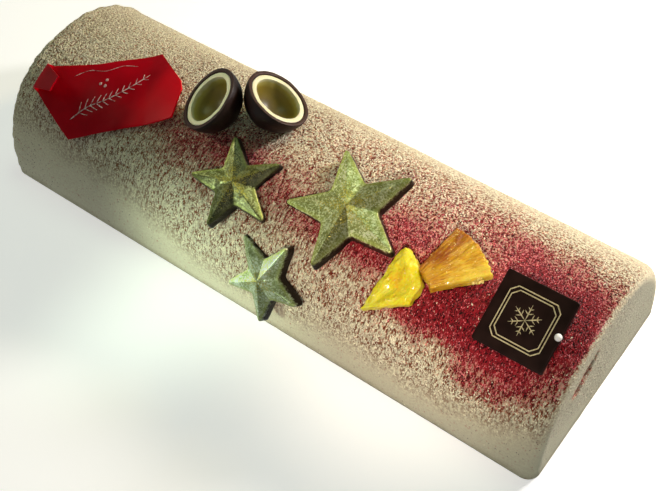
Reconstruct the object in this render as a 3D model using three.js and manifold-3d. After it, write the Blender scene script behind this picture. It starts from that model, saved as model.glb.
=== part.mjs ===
// A Yule log cake: one arched mousse log with its toppings, in millimetres, +Z up.
// X runs along the log, -Y is the front, and the base lies on z = 0.
import * as THREE from "three";
import { mergeVertices } from "three/addons/utils/BufferGeometryUtils.js";
import Module from "manifold-3d";

// ---- the log ----
const LOG_LENGTH = 259;
const LOG_WIDTH = 90;
const LOG_HEIGHT = 50;
const LOG_POWER = 2.3; // 2 would be a plain half ellipse
const LOG_END_RADIUS = 5; // rounding of both end edges
const LOG_STEPS = 44; // facets round the arch
const GAP = 0.3; // left between each topping and what it rests on

// ---- five-pointed moulded stars ----
const STAR_WALL = 4; // height of the upright rim
const STAR_PEAK = 2.9; // height of the centre above the rim
const STAR_VALLEY = 0.44; // inner corners, as a share of the tip radius
const STAR_TIP_WIDTH = 1.3; // the tips are blunt
const STAR_DRAFT = 0.35; // the rim widens this much towards the back
const STARS = {
  star_small: {
    radius: 18.4,
    centre: [-13.2, -25.4, 46.9],
    faceDirection: [0.058, -0.446, 0.893],
    firstTip: [-0.538, 0.74, 0.405],
    arms: [1, 1, 1, 1, 1],
  },
  star_large: {
    radius: 24.6,
    centre: [31.2, -14.0, 51.1],
    faceDirection: [-0.095, -0.299, 0.949],
    firstTip: [-0.601, 0.778, 0.185],
    arms: [1, 1, 1, 1, 1],
  },
  star_front: {
    radius: 17.9,
    centre: [12.4, -44.1, 27],
    faceDirection: [-0.137, -0.835, 0.535],
    firstTip: [-0.767, 0.431, 0.475],
    arms: [1, 1, 0.9, 0.98, 1],
  },
};

// ---- two coconut halves: a chocolate shell with a pale lining ----
const SHELL_RADIUS = 13.3;
const SHELL_WALL = 1.5;
const LINING_WALL = 1.9;
const LINING_DROP = 0.35; // the lining ends this far below the shell's rim
const SHELL_STEPS = 28;
const SHELL_ARC_STEPS = 8;
const SHELLS = {
  left: { centre: [-39.2, -7.2, 61.9], opening: [-0.456, -0.392, 0.799] },
  right: { centre: [-17.0, 8.2, 61.4], opening: [0.445, 0.419, 0.791] },
};

// ---- square chocolate tile with one sugar pearl ----
const TILE_SIDE = 26.7;
const TILE_THICKNESS = 2.2;
const TILE_CORNER = 0.7;
const TILE_CENTRE = [106.4, -18.5, 48.75];
const TILE_FACE = [-0.022, -0.468, 0.883];
const TILE_UP = [-0.015, 0.883, 0.468];
const PEARL_RADIUS = 1.5;
const PEARL_AT = [12.6, 0.1]; // on the tile's face, from its centre
const PEARL_SINK = 0.35;

// ---- candied pineapple: one chunk and one wedge of a ring ----
const CHUNK_CENTRE = [60.6, -27.2, 46.6];
const CHUNK_FACE = [0, -0.533, 0.846];
const CHUNK_DEPTH = 5.5;
const CHUNK_OUTLINE = [
  // along X, up the slope, height of the top edge there
  [-7.1, -15.7, -2.2],
  [2.0, -10.1, 0.2],
  [9.1, -5.6, 0.3],
  [10.0, 2.3, 0.9],
  [3.9, 8.8, 1.4],
  [-2.0, 11.4, 0.5],
  [-3.5, 9.9, -0.3],
];
const CHUNK_DIP = [2.2, -2.4, -0.6]; // hollow in the middle of its top
const WEDGE_CENTRE = [76.8, -9.5, 53.0];
const WEDGE_FACE = [0, -0.139, 0.99];
const WEDGE_APEX = [-11.8, -26.8]; // where the ring's centre would be
const WEDGE_INNER = 13.5;
const WEDGE_OUTER = 35;
const WEDGE_FROM = 46; // degrees
const WEDGE_TO = 84;
const WEDGE_DEPTH = 3.9;
const WEDGE_BOW = 1.2; // its middle stands this much higher
const WEDGE_STEPS = 8;

// ---- thin red plaque, bent over the crown, its left end curled back ----
const PLAQUE_THICKNESS = 0.8;
const PLAQUE_CENTRE = [-86.7, -16.4]; // along X, and along the arch from the crown
const PLAQUE_TURN = 37; // degrees from the log's length
const PLAQUE_TOP = [
  // along the plaque, across it
  [-23.1, 13.8],
  [-4.3, 12],
  [21.2, 14.1],
  [30.9, -4.4],
];
const PLAQUE_BOTTOM = [
  [-30.0, 4.5],
  [-19.5, -16.7],
  [4.5, -18.5],
  [29, -20.7],
  [31.9, -9],
];
const PLAQUE_CLEARANCE = 0.9;
const PLAQUE_RISES = [
  // both ends bend up: where the bend starts, and its angle in degrees
  { start: 17, side: 1, angle: 17 },
  { start: 12, side: -1, angle: 8 },
];
const CURL_RADIUS = 1.7;
const CURL_ANGLE = 158; // degrees
const CURL_FLAT = 10.5;
const CURL_NARROWING = 0.55;
const PLAQUE_COLUMNS = 22;
const PLAQUE_ROWS = 9;
const CURL_COLUMNS = 9;

const wasm = await Module();
wasm.setup();

const rad = (degrees) => (degrees * Math.PI) / 180;
const vec = (list) => new THREE.Vector3(...list);

function material(name, colour, roughness, metalness = 0) {
  const made = new THREE.MeshStandardMaterial({ color: colour, roughness, metalness });
  made.name = name;
  return made;
}

function geometryFrom(points, faces) {
  const geometry = new THREE.BufferGeometry();
  geometry.setAttribute("position", new THREE.Float32BufferAttribute(points.flat(), 3));
  geometry.setIndex(faces.flat());
  return geometry;
}

function toManifold(geometry) {
  const plain = geometry.clone();
  plain.deleteAttribute("normal");
  plain.deleteAttribute("uv");
  const merged = mergeVertices(plain, 1e-4);
  return new wasm.Manifold(
    new wasm.Mesh({
      numProp: 3,
      vertProperties: new Float32Array(merged.attributes.position.array),
      triVerts: new Uint32Array(merged.index.array),
    }),
  );
}

function fromManifold(solid) {
  const mesh = solid.getMesh();
  const geometry = new THREE.BufferGeometry();
  const points = new Float32Array((mesh.vertProperties.length / mesh.numProp) * 3);
  for (let i = 0; i < points.length / 3; i += 1) {
    for (let k = 0; k < 3; k += 1) {
      points[3 * i + k] = mesh.vertProperties[mesh.numProp * i + k];
    }
  }
  geometry.setAttribute("position", new THREE.Float32BufferAttribute(points, 3));
  geometry.setIndex(Array.from(mesh.triVerts));
  geometry.computeVertexNormals();
  return geometry;
}

// Turns a shape modelled on its own axes so that its +Z follows `face` and its +Y follows `up`.
function place(geometry, centre, face, up) {
  const z = vec(face).normalize();
  const x = vec(up).cross(z).normalize();
  const y = z.clone().cross(x);
  const turn = new THREE.Matrix4().makeBasis(x, y, z).setPosition(...centre);
  return geometry.clone().applyMatrix4(turn);
}

// One cross-section of the log as [y, z], from the front of the base over the crown to the back.
function logSection(inset) {
  const half = LOG_WIDTH / 2 - inset;
  const height = LOG_HEIGHT - inset;
  const section = [];
  for (let i = 0; i <= LOG_STEPS; i += 1) {
    const angle = Math.PI * (1 - i / LOG_STEPS);
    const c = Math.cos(angle);
    const s = Math.sin(angle);
    const y = half * Math.sign(c) * Math.abs(c) ** (2 / LOG_POWER);
    const z = height * Math.abs(s) ** (2 / LOG_POWER);
    section.push([y, z]);
  }
  return section.map(([y, z]) => [-y, z]).reverse();
}

// The log, or the same log grown by `grow` on every side.
function logGeometry(grow) {
  const rings = [];
  const turns = 5;
  for (let i = 0; i <= turns; i += 1) {
    const angle = rad((90 * i) / turns);
    const inset = LOG_END_RADIUS * (1 - Math.sin(angle));
    const back = LOG_END_RADIUS * (1 - Math.cos(angle));
    rings.push({ x: -LOG_LENGTH / 2 - grow + back, section: logSection(inset - grow) });
  }
  for (let i = turns; i >= 0; i -= 1) {
    rings.push({ x: -rings[i].x, section: rings[i].section });
  }
  const points = [];
  const faces = [];
  const row = LOG_STEPS + 1;
  for (const ring of rings) {
    for (const [y, z] of ring.section) {
      points.push([ring.x, y, z < 1e-6 ? -grow : z]);
    }
  }
  for (let r = 0; r + 1 < rings.length; r += 1) {
    for (let i = 0; i < row; i += 1) {
      const a = r * row + i;
      const b = r * row + ((i + 1) % row);
      faces.push([a, a + row, b], [b, a + row, b + row]);
    }
  }
  for (const [ring, flip] of [[0, false], [rings.length - 1, true]]) {
    const middle = points.length;
    points.push([rings[ring].x, 0, LOG_HEIGHT * 0.4]);
    for (let i = 0; i < row; i += 1) {
      const a = ring * row + i;
      const b = ring * row + ((i + 1) % row);
      faces.push(flip ? [middle, b, a] : [middle, a, b]);
    }
  }
  return geometryFrom(points, faces);
}

function starGeometry(radius, arms) {
  const rim = [];
  for (let i = 0; i < 5; i += 1) {
    const tip = Math.PI / 2 + (i * 2 * Math.PI) / 5;
    const reach = radius * arms[i];
    const side = STAR_TIP_WIDTH / 2;
    for (const across of [-side, side]) {
      rim.push([
        reach * Math.cos(tip) - across * Math.sin(tip),
        reach * Math.sin(tip) + across * Math.cos(tip),
      ]);
    }
    const valley = tip + Math.PI / 5;
    rim.push([
      radius * STAR_VALLEY * Math.cos(valley),
      radius * STAR_VALLEY * Math.sin(valley),
    ]);
  }
  const count = rim.length;
  const points = rim.map(([x, y]) => [x, y, 0]);
  for (const [x, y] of rim) {
    const size = Math.hypot(x, y);
    const grow = (size + STAR_DRAFT) / size;
    points.push([x * grow, y * grow, -STAR_WALL]);
  }
  points.push([0, 0, STAR_PEAK], [0, 0, -STAR_WALL]);
  const faces = [];
  for (let i = 0; i < count; i += 1) {
    const next = (i + 1) % count;
    faces.push([2 * count, i, next], [2 * count + 1, count + next, count + i]);
    faces.push([i, count + i, count + next], [i, count + next, next]);
  }
  return geometryFrom(points, faces);
}

// A half-sphere bowl about its own centre, open towards +Z.
function bowlGeometry(outer, inner, top) {
  const profile = [];
  for (let i = 0; i <= SHELL_ARC_STEPS; i += 1) {
    const angle = (i / SHELL_ARC_STEPS) * Math.acos(-top / outer);
    profile.push(new THREE.Vector2(outer * Math.sin(angle), -outer * Math.cos(angle)));
  }
  for (let i = SHELL_ARC_STEPS; i >= 0; i -= 1) {
    const angle = (i / SHELL_ARC_STEPS) * Math.acos(-top / inner);
    profile.push(new THREE.Vector2(inner * Math.sin(angle), -inner * Math.cos(angle)));
  }
  profile[0].x = 0;
  profile[profile.length - 1].x = 0;
  return new THREE.LatheGeometry(profile, SHELL_STEPS).rotateX(Math.PI / 2);
}

function tileGeometry(grow) {
  const half = TILE_SIDE / 2 + grow;
  const outline = new THREE.Shape();
  outline.moveTo(-half + TILE_CORNER, -half);
  outline.lineTo(half - TILE_CORNER, -half);
  outline.quadraticCurveTo(half, -half, half, -half + TILE_CORNER);
  outline.lineTo(half, half - TILE_CORNER);
  outline.quadraticCurveTo(half, half, half - TILE_CORNER, half);
  outline.lineTo(-half + TILE_CORNER, half);
  outline.quadraticCurveTo(-half, half, -half, half - TILE_CORNER);
  outline.lineTo(-half, -half + TILE_CORNER);
  outline.quadraticCurveTo(-half, -half, -half + TILE_CORNER, -half);
  const options = { depth: TILE_THICKNESS + 2 * grow, bevelEnabled: false, curveSegments: 3 };
  return new THREE.ExtrudeGeometry(outline, options).translate(0, 0, -TILE_THICKNESS - grow);
}

// The pineapple chunk: an uneven outline with a raised edge and a dip in its top.
function chunkGeometry(grow) {
  const middle = [1, -1.5];
  const ring = CHUNK_OUTLINE.map(([x, y, z]) => {
    const size = Math.hypot(x - middle[0], y - middle[1]);
    const scale = (size + grow * 1.6) / size;
    return [middle[0] + (x - middle[0]) * scale, middle[1] + (y - middle[1]) * scale, z + grow];
  });
  const count = ring.length;
  const points = [...ring];
  for (const [x, y] of ring) {
    points.push([x, y, -CHUNK_DEPTH - grow]);
  }
  for (const [x, y, z] of ring) {
    points.push([x + (CHUNK_DIP[0] - x) * 0.3, y + (CHUNK_DIP[1] - y) * 0.3, z + 1.1]);
  }
  points.push([CHUNK_DIP[0], CHUNK_DIP[1], CHUNK_DIP[2] + grow]);
  points.push([middle[0], middle[1], -CHUNK_DEPTH - grow]);
  const faces = [];
  for (let i = 0; i < count; i += 1) {
    const next = (i + 1) % count;
    const rim = 2 * count;
    faces.push([i, count + next, next], [i, count + i, count + next]);
    faces.push([i, next, rim + next], [i, rim + next, rim + i]);
    faces.push([rim + i, rim + next, 3 * count]);
    faces.push([3 * count + 1, count + next, count + i]);
  }
  return geometryFrom(points, faces);
}

// The wedge: part of a pineapple ring, bowed so its middle stands higher.
function wedgeGeometry() {
  const points = [];
  const faces = [];
  const rows = 4;
  const line = WEDGE_STEPS + 1;
  for (const level of [0, 1]) {
    for (let r = 0; r <= rows; r += 1) {
      for (let i = 0; i <= WEDGE_STEPS; i += 1) {
        const share = i / WEDGE_STEPS;
        const angle = rad(WEDGE_FROM + (WEDGE_TO - WEDGE_FROM) * share);
        const reach = WEDGE_INNER + ((WEDGE_OUTER - WEDGE_INNER) * r) / rows;
        const bow = WEDGE_BOW * Math.sin(Math.PI * share) * (0.4 + (0.6 * r) / rows);
        const x = WEDGE_APEX[0] + reach * Math.cos(angle);
        const y = WEDGE_APEX[1] + reach * Math.sin(angle);
        points.push([x, y, bow - level * WEDGE_DEPTH]);
      }
    }
  }
  const low = (rows + 1) * line;
  for (let r = 0; r < rows; r += 1) {
    for (let i = 0; i < WEDGE_STEPS; i += 1) {
      const a = r * line + i;
      faces.push([a, a + line, a + line + 1], [a, a + line + 1, a + 1]);
      faces.push([low + a, low + a + line + 1, low + a + line]);
      faces.push([low + a, low + a + 1, low + a + line + 1]);
    }
  }
  const border = [];
  for (let i = 0; i < WEDGE_STEPS; i += 1) border.push(i);
  for (let r = 0; r < rows; r += 1) border.push(r * line + WEDGE_STEPS);
  for (let i = WEDGE_STEPS; i > 0; i -= 1) border.push(rows * line + i);
  for (let r = rows; r > 0; r -= 1) border.push(r * line);
  border.forEach((a, k) => {
    const b = border[(k + 1) % border.length];
    faces.push([a, b, low + b], [a, low + b, low + a]);
  });
  return geometryFrom(points, faces);
}

// Distance along the arch from the crown, for a run of fine steps over the section.
const archTable = (() => {
  const table = [];
  let run = 0;
  let last = null;
  for (let i = 0; i <= 2000; i += 1) {
    const angle = (Math.PI * i) / 2000;
    const c = Math.cos(angle);
    const y = -(LOG_WIDTH / 2) * Math.sign(c) * Math.abs(c) ** (2 / LOG_POWER);
    const z = LOG_HEIGHT * Math.sin(angle) ** (2 / LOG_POWER);
    if (last) run += Math.hypot(y - last[0], z - last[1]);
    last = [y, z];
    table.push({ run, y, z });
  }
  const crown = table[1000].run;
  return table.map((entry) => ({ ...entry, run: entry.run - crown }));
})();

// The point `height` above the log's skin, `run` along the arch from the crown.
function aboveLog(x, run, height) {
  const found = archTable.findIndex((entry) => entry.run > run);
  const at = Math.min(Math.max(found, 1), archTable.length - 2);
  const before = archTable[at - 1];
  const after = archTable[at];
  const share = (run - before.run) / (after.run - before.run);
  const y = before.y + (after.y - before.y) * share;
  const z = before.z + (after.z - before.z) * share;
  const along = new THREE.Vector3(0, after.y - before.y, after.z - before.z).normalize();
  return new THREE.Vector3(x, y - along.z * height, z + along.y * height);
}

function onPath(path, share) {
  const lengths = path.slice(1).map((p, i) => Math.hypot(p[0] - path[i][0], p[1] - path[i][1]));
  let left = share * lengths.reduce((a, b) => a + b, 0);
  for (let i = 0; i < lengths.length; i += 1) {
    if (left <= lengths[i] || i === lengths.length - 1) {
      const part = left / lengths[i];
      return [0, 1].map((k) => path[i][k] + (path[i + 1][k] - path[i][k]) * part);
    }
    left -= lengths[i];
  }
  return path[0];
}

function plaquePoint([along, across]) {
  const turn = rad(PLAQUE_TURN);
  const x = PLAQUE_CENTRE[0] + along * Math.cos(turn) - across * Math.sin(turn);
  const run = PLAQUE_CENTRE[1] + along * Math.sin(turn) + across * Math.cos(turn);
  let rise = 0;
  for (const { start, side, angle } of PLAQUE_RISES) {
    rise += Math.max(0, along * side - start) * Math.tan(rad(angle));
  }
  return aboveLog(x, run, PLAQUE_CLEARANCE + PLAQUE_THICKNESS / 2 + rise);
}

function plaqueGeometry() {
  const grid = [];
  const curl = rad(CURL_ANGLE);
  const curlLength = CURL_RADIUS * curl + CURL_FLAT;
  for (let c = CURL_COLUMNS; c >= 1; c -= 1) {
    const run = (curlLength * c) / CURL_COLUMNS;
    const bend = Math.min(run / CURL_RADIUS, curl);
    const flat = Math.max(0, run - CURL_RADIUS * curl);
    const out = CURL_RADIUS * Math.sin(bend) + flat * Math.cos(curl);
    const up = CURL_RADIUS * (1 - Math.cos(bend)) + flat * Math.sin(curl);
    const narrow = 1 - ((1 - CURL_NARROWING) * run) / curlLength;
    const column = [];
    for (let r = 0; r <= PLAQUE_ROWS; r += 1) {
      const share = 0.5 + (r / PLAQUE_ROWS - 0.5) * narrow;
      const top = PLAQUE_TOP[0];
      const low = PLAQUE_BOTTOM[0];
      const crease = [0, 1].map((k) => top[k] + (low[k] - top[k]) * share);
      const inside = [crease[0] + 1, crease[1] - 0.85];
      const base = plaquePoint(crease);
      const inward = plaquePoint(inside).sub(base).normalize();
      const edge = plaquePoint(low).sub(plaquePoint(top)).normalize();
      const lift = edge.cross(inward).normalize();
      column.push(base.addScaledVector(inward, -out).addScaledVector(lift, up));
    }
    grid.push(column);
  }
  for (let c = 0; c <= PLAQUE_COLUMNS; c += 1) {
    const top = onPath(PLAQUE_TOP, c / PLAQUE_COLUMNS);
    const low = onPath(PLAQUE_BOTTOM, c / PLAQUE_COLUMNS);
    const column = [];
    for (let r = 0; r <= PLAQUE_ROWS; r += 1) {
      const share = r / PLAQUE_ROWS;
      column.push(plaquePoint([0, 1].map((k) => top[k] + (low[k] - top[k]) * share)));
    }
    grid.push(column);
  }
  return sheetGeometry(grid, PLAQUE_THICKNESS);
}

// A closed sheet of even thickness about a grid of middle points.
function sheetGeometry(grid, thickness) {
  const columns = grid.length;
  const rows = grid[0].length;
  const points = [];
  for (const side of [0.5, -0.5]) {
    for (let c = 0; c < columns; c += 1) {
      for (let r = 0; r < rows; r += 1) {
        const before = grid[Math.max(c - 1, 0)][r];
        const after = grid[Math.min(c + 1, columns - 1)][r];
        const over = grid[c][Math.max(r - 1, 0)];
        const under = grid[c][Math.min(r + 1, rows - 1)];
        const normal = under.clone().sub(over).cross(after.clone().sub(before)).normalize();
        const at = grid[c][r].clone().addScaledVector(normal, side * thickness);
        points.push([at.x, at.y, at.z]);
      }
    }
  }
  const faces = [];
  const low = columns * rows;
  for (let c = 0; c + 1 < columns; c += 1) {
    for (let r = 0; r + 1 < rows; r += 1) {
      const a = c * rows + r;
      const b = a + rows;
      faces.push([a, a + 1, b + 1], [a, b + 1, b]);
      faces.push([low + a, low + b + 1, low + a + 1], [low + a, low + b, low + b + 1]);
    }
  }
  const border = [];
  for (let c = 0; c + 1 < columns; c += 1) border.push(c * rows);
  for (let r = 0; r + 1 < rows; r += 1) border.push((columns - 1) * rows + r);
  for (let c = columns - 1; c > 0; c -= 1) border.push(c * rows + rows - 1);
  for (let r = rows - 1; r > 0; r -= 1) border.push(r);
  border.forEach((a, k) => {
    const b = border[(k + 1) % border.length];
    faces.push([a, b, low + b], [a, low + b, low + a]);
  });
  return geometryFrom(points, faces);
}

const group = new THREE.Group();
group.name = "yule_log_cake";

function addNode(name, geometry, look) {
  const shown = geometry.index ? geometry : mergeVertices(geometry, 1e-4);
  shown.computeVertexNormals();
  const mesh = new THREE.Mesh(shown, look);
  mesh.name = name;
  group.add(mesh);
}

const grownLog = toManifold(logGeometry(GAP));
const restOnLog = (geometry) => toManifold(geometry).subtract(grownLog);

addNode("log_body", logGeometry(0), material("ivory_velvet", "#d8cfb4", 0.85));

const starLooks = {
  star_small: material("green_gold_small", "#8b9153", 0.4, 0.3),
  star_large: material("green_gold_large", "#8b9153", 0.4, 0.3),
  star_front: material("green_gold_front", "#8b9153", 0.4, 0.3),
};
for (const [name, star] of Object.entries(STARS)) {
  const shape = starGeometry(star.radius, star.arms);
  const placed = place(shape, star.centre, star.faceDirection, star.firstTip);
  addNode(name, fromManifold(restOnLog(placed)), starLooks[name]);
}

for (const [side, shell] of Object.entries(SHELLS)) {
  const outer = bowlGeometry(SHELL_RADIUS, SHELL_RADIUS - SHELL_WALL, 0);
  const liningOuter = SHELL_RADIUS - SHELL_WALL - GAP;
  const inner = bowlGeometry(liningOuter, liningOuter - LINING_WALL, -LINING_DROP);
  const placedOuter = place(outer, shell.centre, shell.opening, [0, 1, 0]);
  const placedInner = place(inner, shell.centre, shell.opening, [0, 1, 0]);
  const shellLook = material(`dark_chocolate_${side}`, "#2b1613", 0.45);
  const liningLook = material(`ivory_lining_${side}`, "#e3ddb4", 0.5);
  addNode(`shell_${side}`, fromManifold(restOnLog(placedOuter)), shellLook);
  addNode(`lining_${side}`, fromManifold(toManifold(placedInner)), liningLook);
}

const tile = place(tileGeometry(0), TILE_CENTRE, TILE_FACE, TILE_UP);
addNode("chocolate_tile", fromManifold(restOnLog(tile)), material("tile_chocolate", "#1a100e", 0.35));

const pearlBall = new THREE.SphereGeometry(PEARL_RADIUS, 20, 12).rotateX(Math.PI / 2);
pearlBall.translate(PEARL_AT[0], PEARL_AT[1], PEARL_RADIUS - PEARL_SINK);
const pearl = place(pearlBall, TILE_CENTRE, TILE_FACE, TILE_UP);
const grownTile = toManifold(place(tileGeometry(GAP), TILE_CENTRE, TILE_FACE, TILE_UP));
const pearlSolid = toManifold(pearl).subtract(grownTile);
addNode("sugar_pearl", fromManifold(pearlSolid), material("pearl_white", "#f6f4ee", 0.3));

const chunk = place(chunkGeometry(0), CHUNK_CENTRE, CHUNK_FACE, [0, 1, 0]);
const chunkLook = material("pineapple_yellow", "#f2c21b", 0.35);
addNode("pineapple_chunk", fromManifold(restOnLog(chunk)), chunkLook);

const grownChunk = toManifold(place(chunkGeometry(GAP), CHUNK_CENTRE, CHUNK_FACE, [0, 1, 0]));
const wedge = place(wedgeGeometry(), WEDGE_CENTRE, WEDGE_FACE, [0, 1, 0]);
const wedgeSolid = restOnLog(wedge).subtract(grownChunk);
addNode("pineapple_wedge", fromManifold(wedgeSolid), material("pineapple_amber", "#e29a1c", 0.35));

addNode("red_plaque", plaqueGeometry(), material("plaque_red", "#9c0a1c", 0.4));

export default group;
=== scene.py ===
# A yule log cake in metres: an arched velvet-sprayed log, its toppings, a pale floor and soft light.
import math
from functools import partial

import bmesh
import bpy
import numpy as np
from mathutils import Euler, Matrix, Vector, noise
from mathutils.bvhtree import BVHTree


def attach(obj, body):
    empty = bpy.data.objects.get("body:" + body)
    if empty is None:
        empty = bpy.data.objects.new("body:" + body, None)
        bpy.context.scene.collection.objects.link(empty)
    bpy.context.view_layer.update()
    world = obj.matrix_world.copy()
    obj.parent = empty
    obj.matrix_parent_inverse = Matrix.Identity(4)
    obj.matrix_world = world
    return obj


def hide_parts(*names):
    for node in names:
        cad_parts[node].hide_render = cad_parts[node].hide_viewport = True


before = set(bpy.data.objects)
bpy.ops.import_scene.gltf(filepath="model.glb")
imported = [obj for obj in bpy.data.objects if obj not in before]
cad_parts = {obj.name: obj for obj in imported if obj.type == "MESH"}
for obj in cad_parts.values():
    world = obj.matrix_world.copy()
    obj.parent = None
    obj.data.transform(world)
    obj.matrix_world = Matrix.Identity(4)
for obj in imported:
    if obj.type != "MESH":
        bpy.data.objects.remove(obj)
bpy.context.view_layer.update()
mm = 0.001
scene = bpy.context.scene
print("frame loaded:", len(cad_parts), "nodes")


# nodes

nodeFamilies = ("ShaderNode", "GeometryNode", "FunctionNode", "Node")
# the setting that a word after the kind of node stands for
modeNames = {"Math": "operation", "VectorMath": "operation", "Compare": "operation", "Mix": "data_type",
             "InputNamedAttribute": "data_type", "RandomValue": "data_type",
             "MapRange": "interpolation_type"}


def hexColour(code):
    parts = [int(code[i:i + 2], 16) / 255 for i in (1, 3, 5)]
    return [p / 12.92 if p <= 0.04045 else ((p + 0.055) / 1.055) ** 2.4 for p in parts] + [1.0]


# adds one node, such as "Math MULTIPLY"; inputs are named, numbered or a list in socket order,
# and take a value, a colour code, a socket or a node; stops fill a colour ramp
def addNode(tree, kind, inputs=(), stops=(), **settings):
    kind, _, mode = kind.partition(" ")
    if mode:
        settings[modeNames[kind]] = mode
    family = next(f for f in nodeFamilies if hasattr(bpy.types, f + kind))
    node = tree.nodes.new(family + kind)
    node.location = (190 * (len(tree.nodes) % 12), -260 * (len(tree.nodes) // 12))
    for key, value in settings.items():
        setattr(node, key, value)
    for key, value in (inputs if isinstance(inputs, dict) else dict(enumerate(inputs))).items():
        if isinstance(value, bpy.types.Node):
            value = next(s for s in value.outputs if s.enabled)
        if isinstance(value, bpy.types.NodeSocket):
            tree.links.new(value, node.inputs[key])
        elif isinstance(value, str) and value.startswith("#"):
            node.inputs[key].default_value = hexColour(value)
        else:
            node.inputs[key].default_value = value
    if stops:
        ramp = node.color_ramp
        while len(ramp.elements) < len(stops):
            ramp.elements.new(0.5)
        for element, (place, colour) in zip(ramp.elements, stops):
            element.position = place
            element.color = hexColour(colour)
    return node


# starts a material; returns it and what adds a node to it
def startMaterial(name):
    material = bpy.data.materials.new(name)
    material.use_nodes = True
    material.node_tree.nodes.clear()
    return material, partial(addNode, material.node_tree)


# ends a material with its shader; bump is its strength, depth in metres and height
def endMaterial(material, settings, bump=None, **bumpSettings):
    add = partial(addNode, material.node_tree)
    if bump:
        settings["Normal"] = add("Bump", dict(zip(("Strength", "Distance", "Height"), bump)), **bumpSettings)
    add("OutputMaterial", {"Surface": add("BsdfPrincipled", settings)})
    return material


# a material whose colour, and roughness and relief where given, follow one noise of that grain in metres
def cloudyMaterial(name, settings, grain, detail, stops, bump=None, rough=None):
    material, add = startMaterial(name)
    cloud = add("TexNoise", {"Vector": add("TexCoord").outputs["Object"], "Scale": 1 / grain,
                             "Detail": detail})
    settings["Base Color"] = add("ValToRGB", [cloud], stops)
    if rough:
        settings["Roughness"] = add("MapRange", [cloud, 0.0, 1.0, *rough])
    return endMaterial(material, settings, bump and (*bump, cloud))


# starts a geometry tree; returns it, what adds a node to it and its named inputs
def startTree(name, inputs):
    tree = bpy.data.node_groups.new(name, "GeometryNodeTree")
    tree.interface.new_socket("Geometry", in_out="INPUT", socket_type="NodeSocketGeometry")
    for label, value in inputs.items():
        kind = "NodeSocketInt" if isinstance(value, int) else "NodeSocketFloat"
        if isinstance(value, bpy.types.Material):
            kind = "NodeSocketMaterial"
        tree.interface.new_socket(label, in_out="INPUT", socket_type=kind)
    tree.interface.new_socket("Geometry", in_out="OUTPUT", socket_type="NodeSocketGeometry")
    add = partial(addNode, tree)
    return tree, add, add("GroupInput").outputs


def endTree(tree, add, given, geometry):
    solid = add("RealizeInstances", {"Geometry": geometry})
    add("GroupOutput", {"Geometry": add("SetMaterial", {"Geometry": solid, "Material": given["Finish"]})})
    return tree


# gives the piece the tree's result as its plain mesh
def bakeTree(piece, tree, inputs):
    modifier = piece.modifiers.new(tree.name, "NODES")
    modifier.node_group = tree
    for item in tree.interface.items_tree:
        if item.in_out == "INPUT" and item.name in inputs:
            modifier[item.identifier] = inputs[item.name]
    return bakeModifiers(piece)


def bakeModifiers(piece):
    graph = bpy.context.evaluated_depsgraph_get()
    made = bpy.data.meshes.new_from_object(piece.evaluated_get(graph), depsgraph=graph)
    piece.modifiers.clear()
    piece.data = made
    made.name = piece.name
    return piece


# pieces and their points

def newPiece(name, points=(), faces=(), material=None, smooth=True):
    mesh = bpy.data.meshes.new(name)
    mesh.from_pydata([tuple(p) for p in points], [], [tuple(f) for f in faces])
    piece = bpy.data.objects.new(name, mesh)
    scene.collection.objects.link(piece)
    if material:
        mesh.materials.append(material)
    if smooth:
        mesh.shade_smooth()
    return piece


def setMaterial(piece, material):
    piece.data.materials.clear()
    piece.data.materials.append(material)


# turns the normals outwards, after merging points closer than the distance
def tidyMesh(piece, distance=1e-6):
    made = bmesh.new()
    made.from_mesh(piece.data)
    if distance:
        bmesh.ops.remove_doubles(made, verts=made.verts, dist=distance)
        bmesh.ops.dissolve_degenerate(made, edges=made.edges, dist=1e-8)
    bmesh.ops.recalc_face_normals(made, faces=made.faces)
    made.to_mesh(piece.data)
    made.free()
    piece.data.update()
    return piece


def readArray(rows, label, width=3, kind=np.float32):
    values = np.zeros(len(rows) * width, kind)
    rows.foreach_get(label, values)
    return values.reshape(-1, 3).astype(float) if width == 3 else values


def readPoints(piece):
    return readArray(piece.data.vertices, "co")


def readNormals(piece):
    return readArray(piece.data.vertex_normals, "vector")


def readShare(piece, name):
    return readArray(piece.data.attributes[name].data, "value", 1, float)


def writePoints(piece, points):
    piece.data.vertices.foreach_set("co", np.asarray(points, np.float32).ravel())
    piece.data.update()


def setAttribute(piece, name, values):
    vector = np.ndim(values) == 2
    layer = piece.data.attributes.new(name, "FLOAT_VECTOR" if vector else "FLOAT", "POINT")
    layer.data.foreach_set("vector" if vector else "value", np.asarray(values, np.float32).ravel())


def unit(vector):
    vector = np.asarray(vector, float)
    return vector / np.linalg.norm(vector, axis=-1, keepdims=True)


# columns are the axes of a shape whose +Z follows face and whose +Y follows up
def turnTo(face, up):
    z = unit(face)
    x = unit(np.cross(up, z))
    return np.stack([x, np.cross(z, x), z], 1)


def placed(points, centre, face, up):
    return (np.asarray(points) @ turnTo(face, up).T + np.asarray(centre)) * mm


def noiseAt(*place):
    return noise.noise(Vector(place))


# moves points by smooth noise along their normals; grain is the size of a bump in millimetres
def roughen(piece, height, grain, seed):
    points = readPoints(piece)
    values = np.array([noiseAt(*p) for p in points / (grain * mm) + seed * 7.31])
    writePoints(piece, points + readNormals(piece) * (values * height * mm)[:, None])
    return piece


def smoothStep(low, high, values):
    t = np.clip((np.asarray(values, float) - low) / (high - low), 0, 1)
    return t * t * (3 - 2 * t)


# joins rows of points into quads; each row is a closed ring unless open
def ringFaces(rows, columns, closed=True, start=0):
    faces = []
    for r in range(rows - 1):
        for c in range(columns if closed else columns - 1):
            a = start + r * columns + c
            b = start + r * columns + (c + 1) % columns
            faces.append((a, b, b + columns, a + columns))
    return faces


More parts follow.
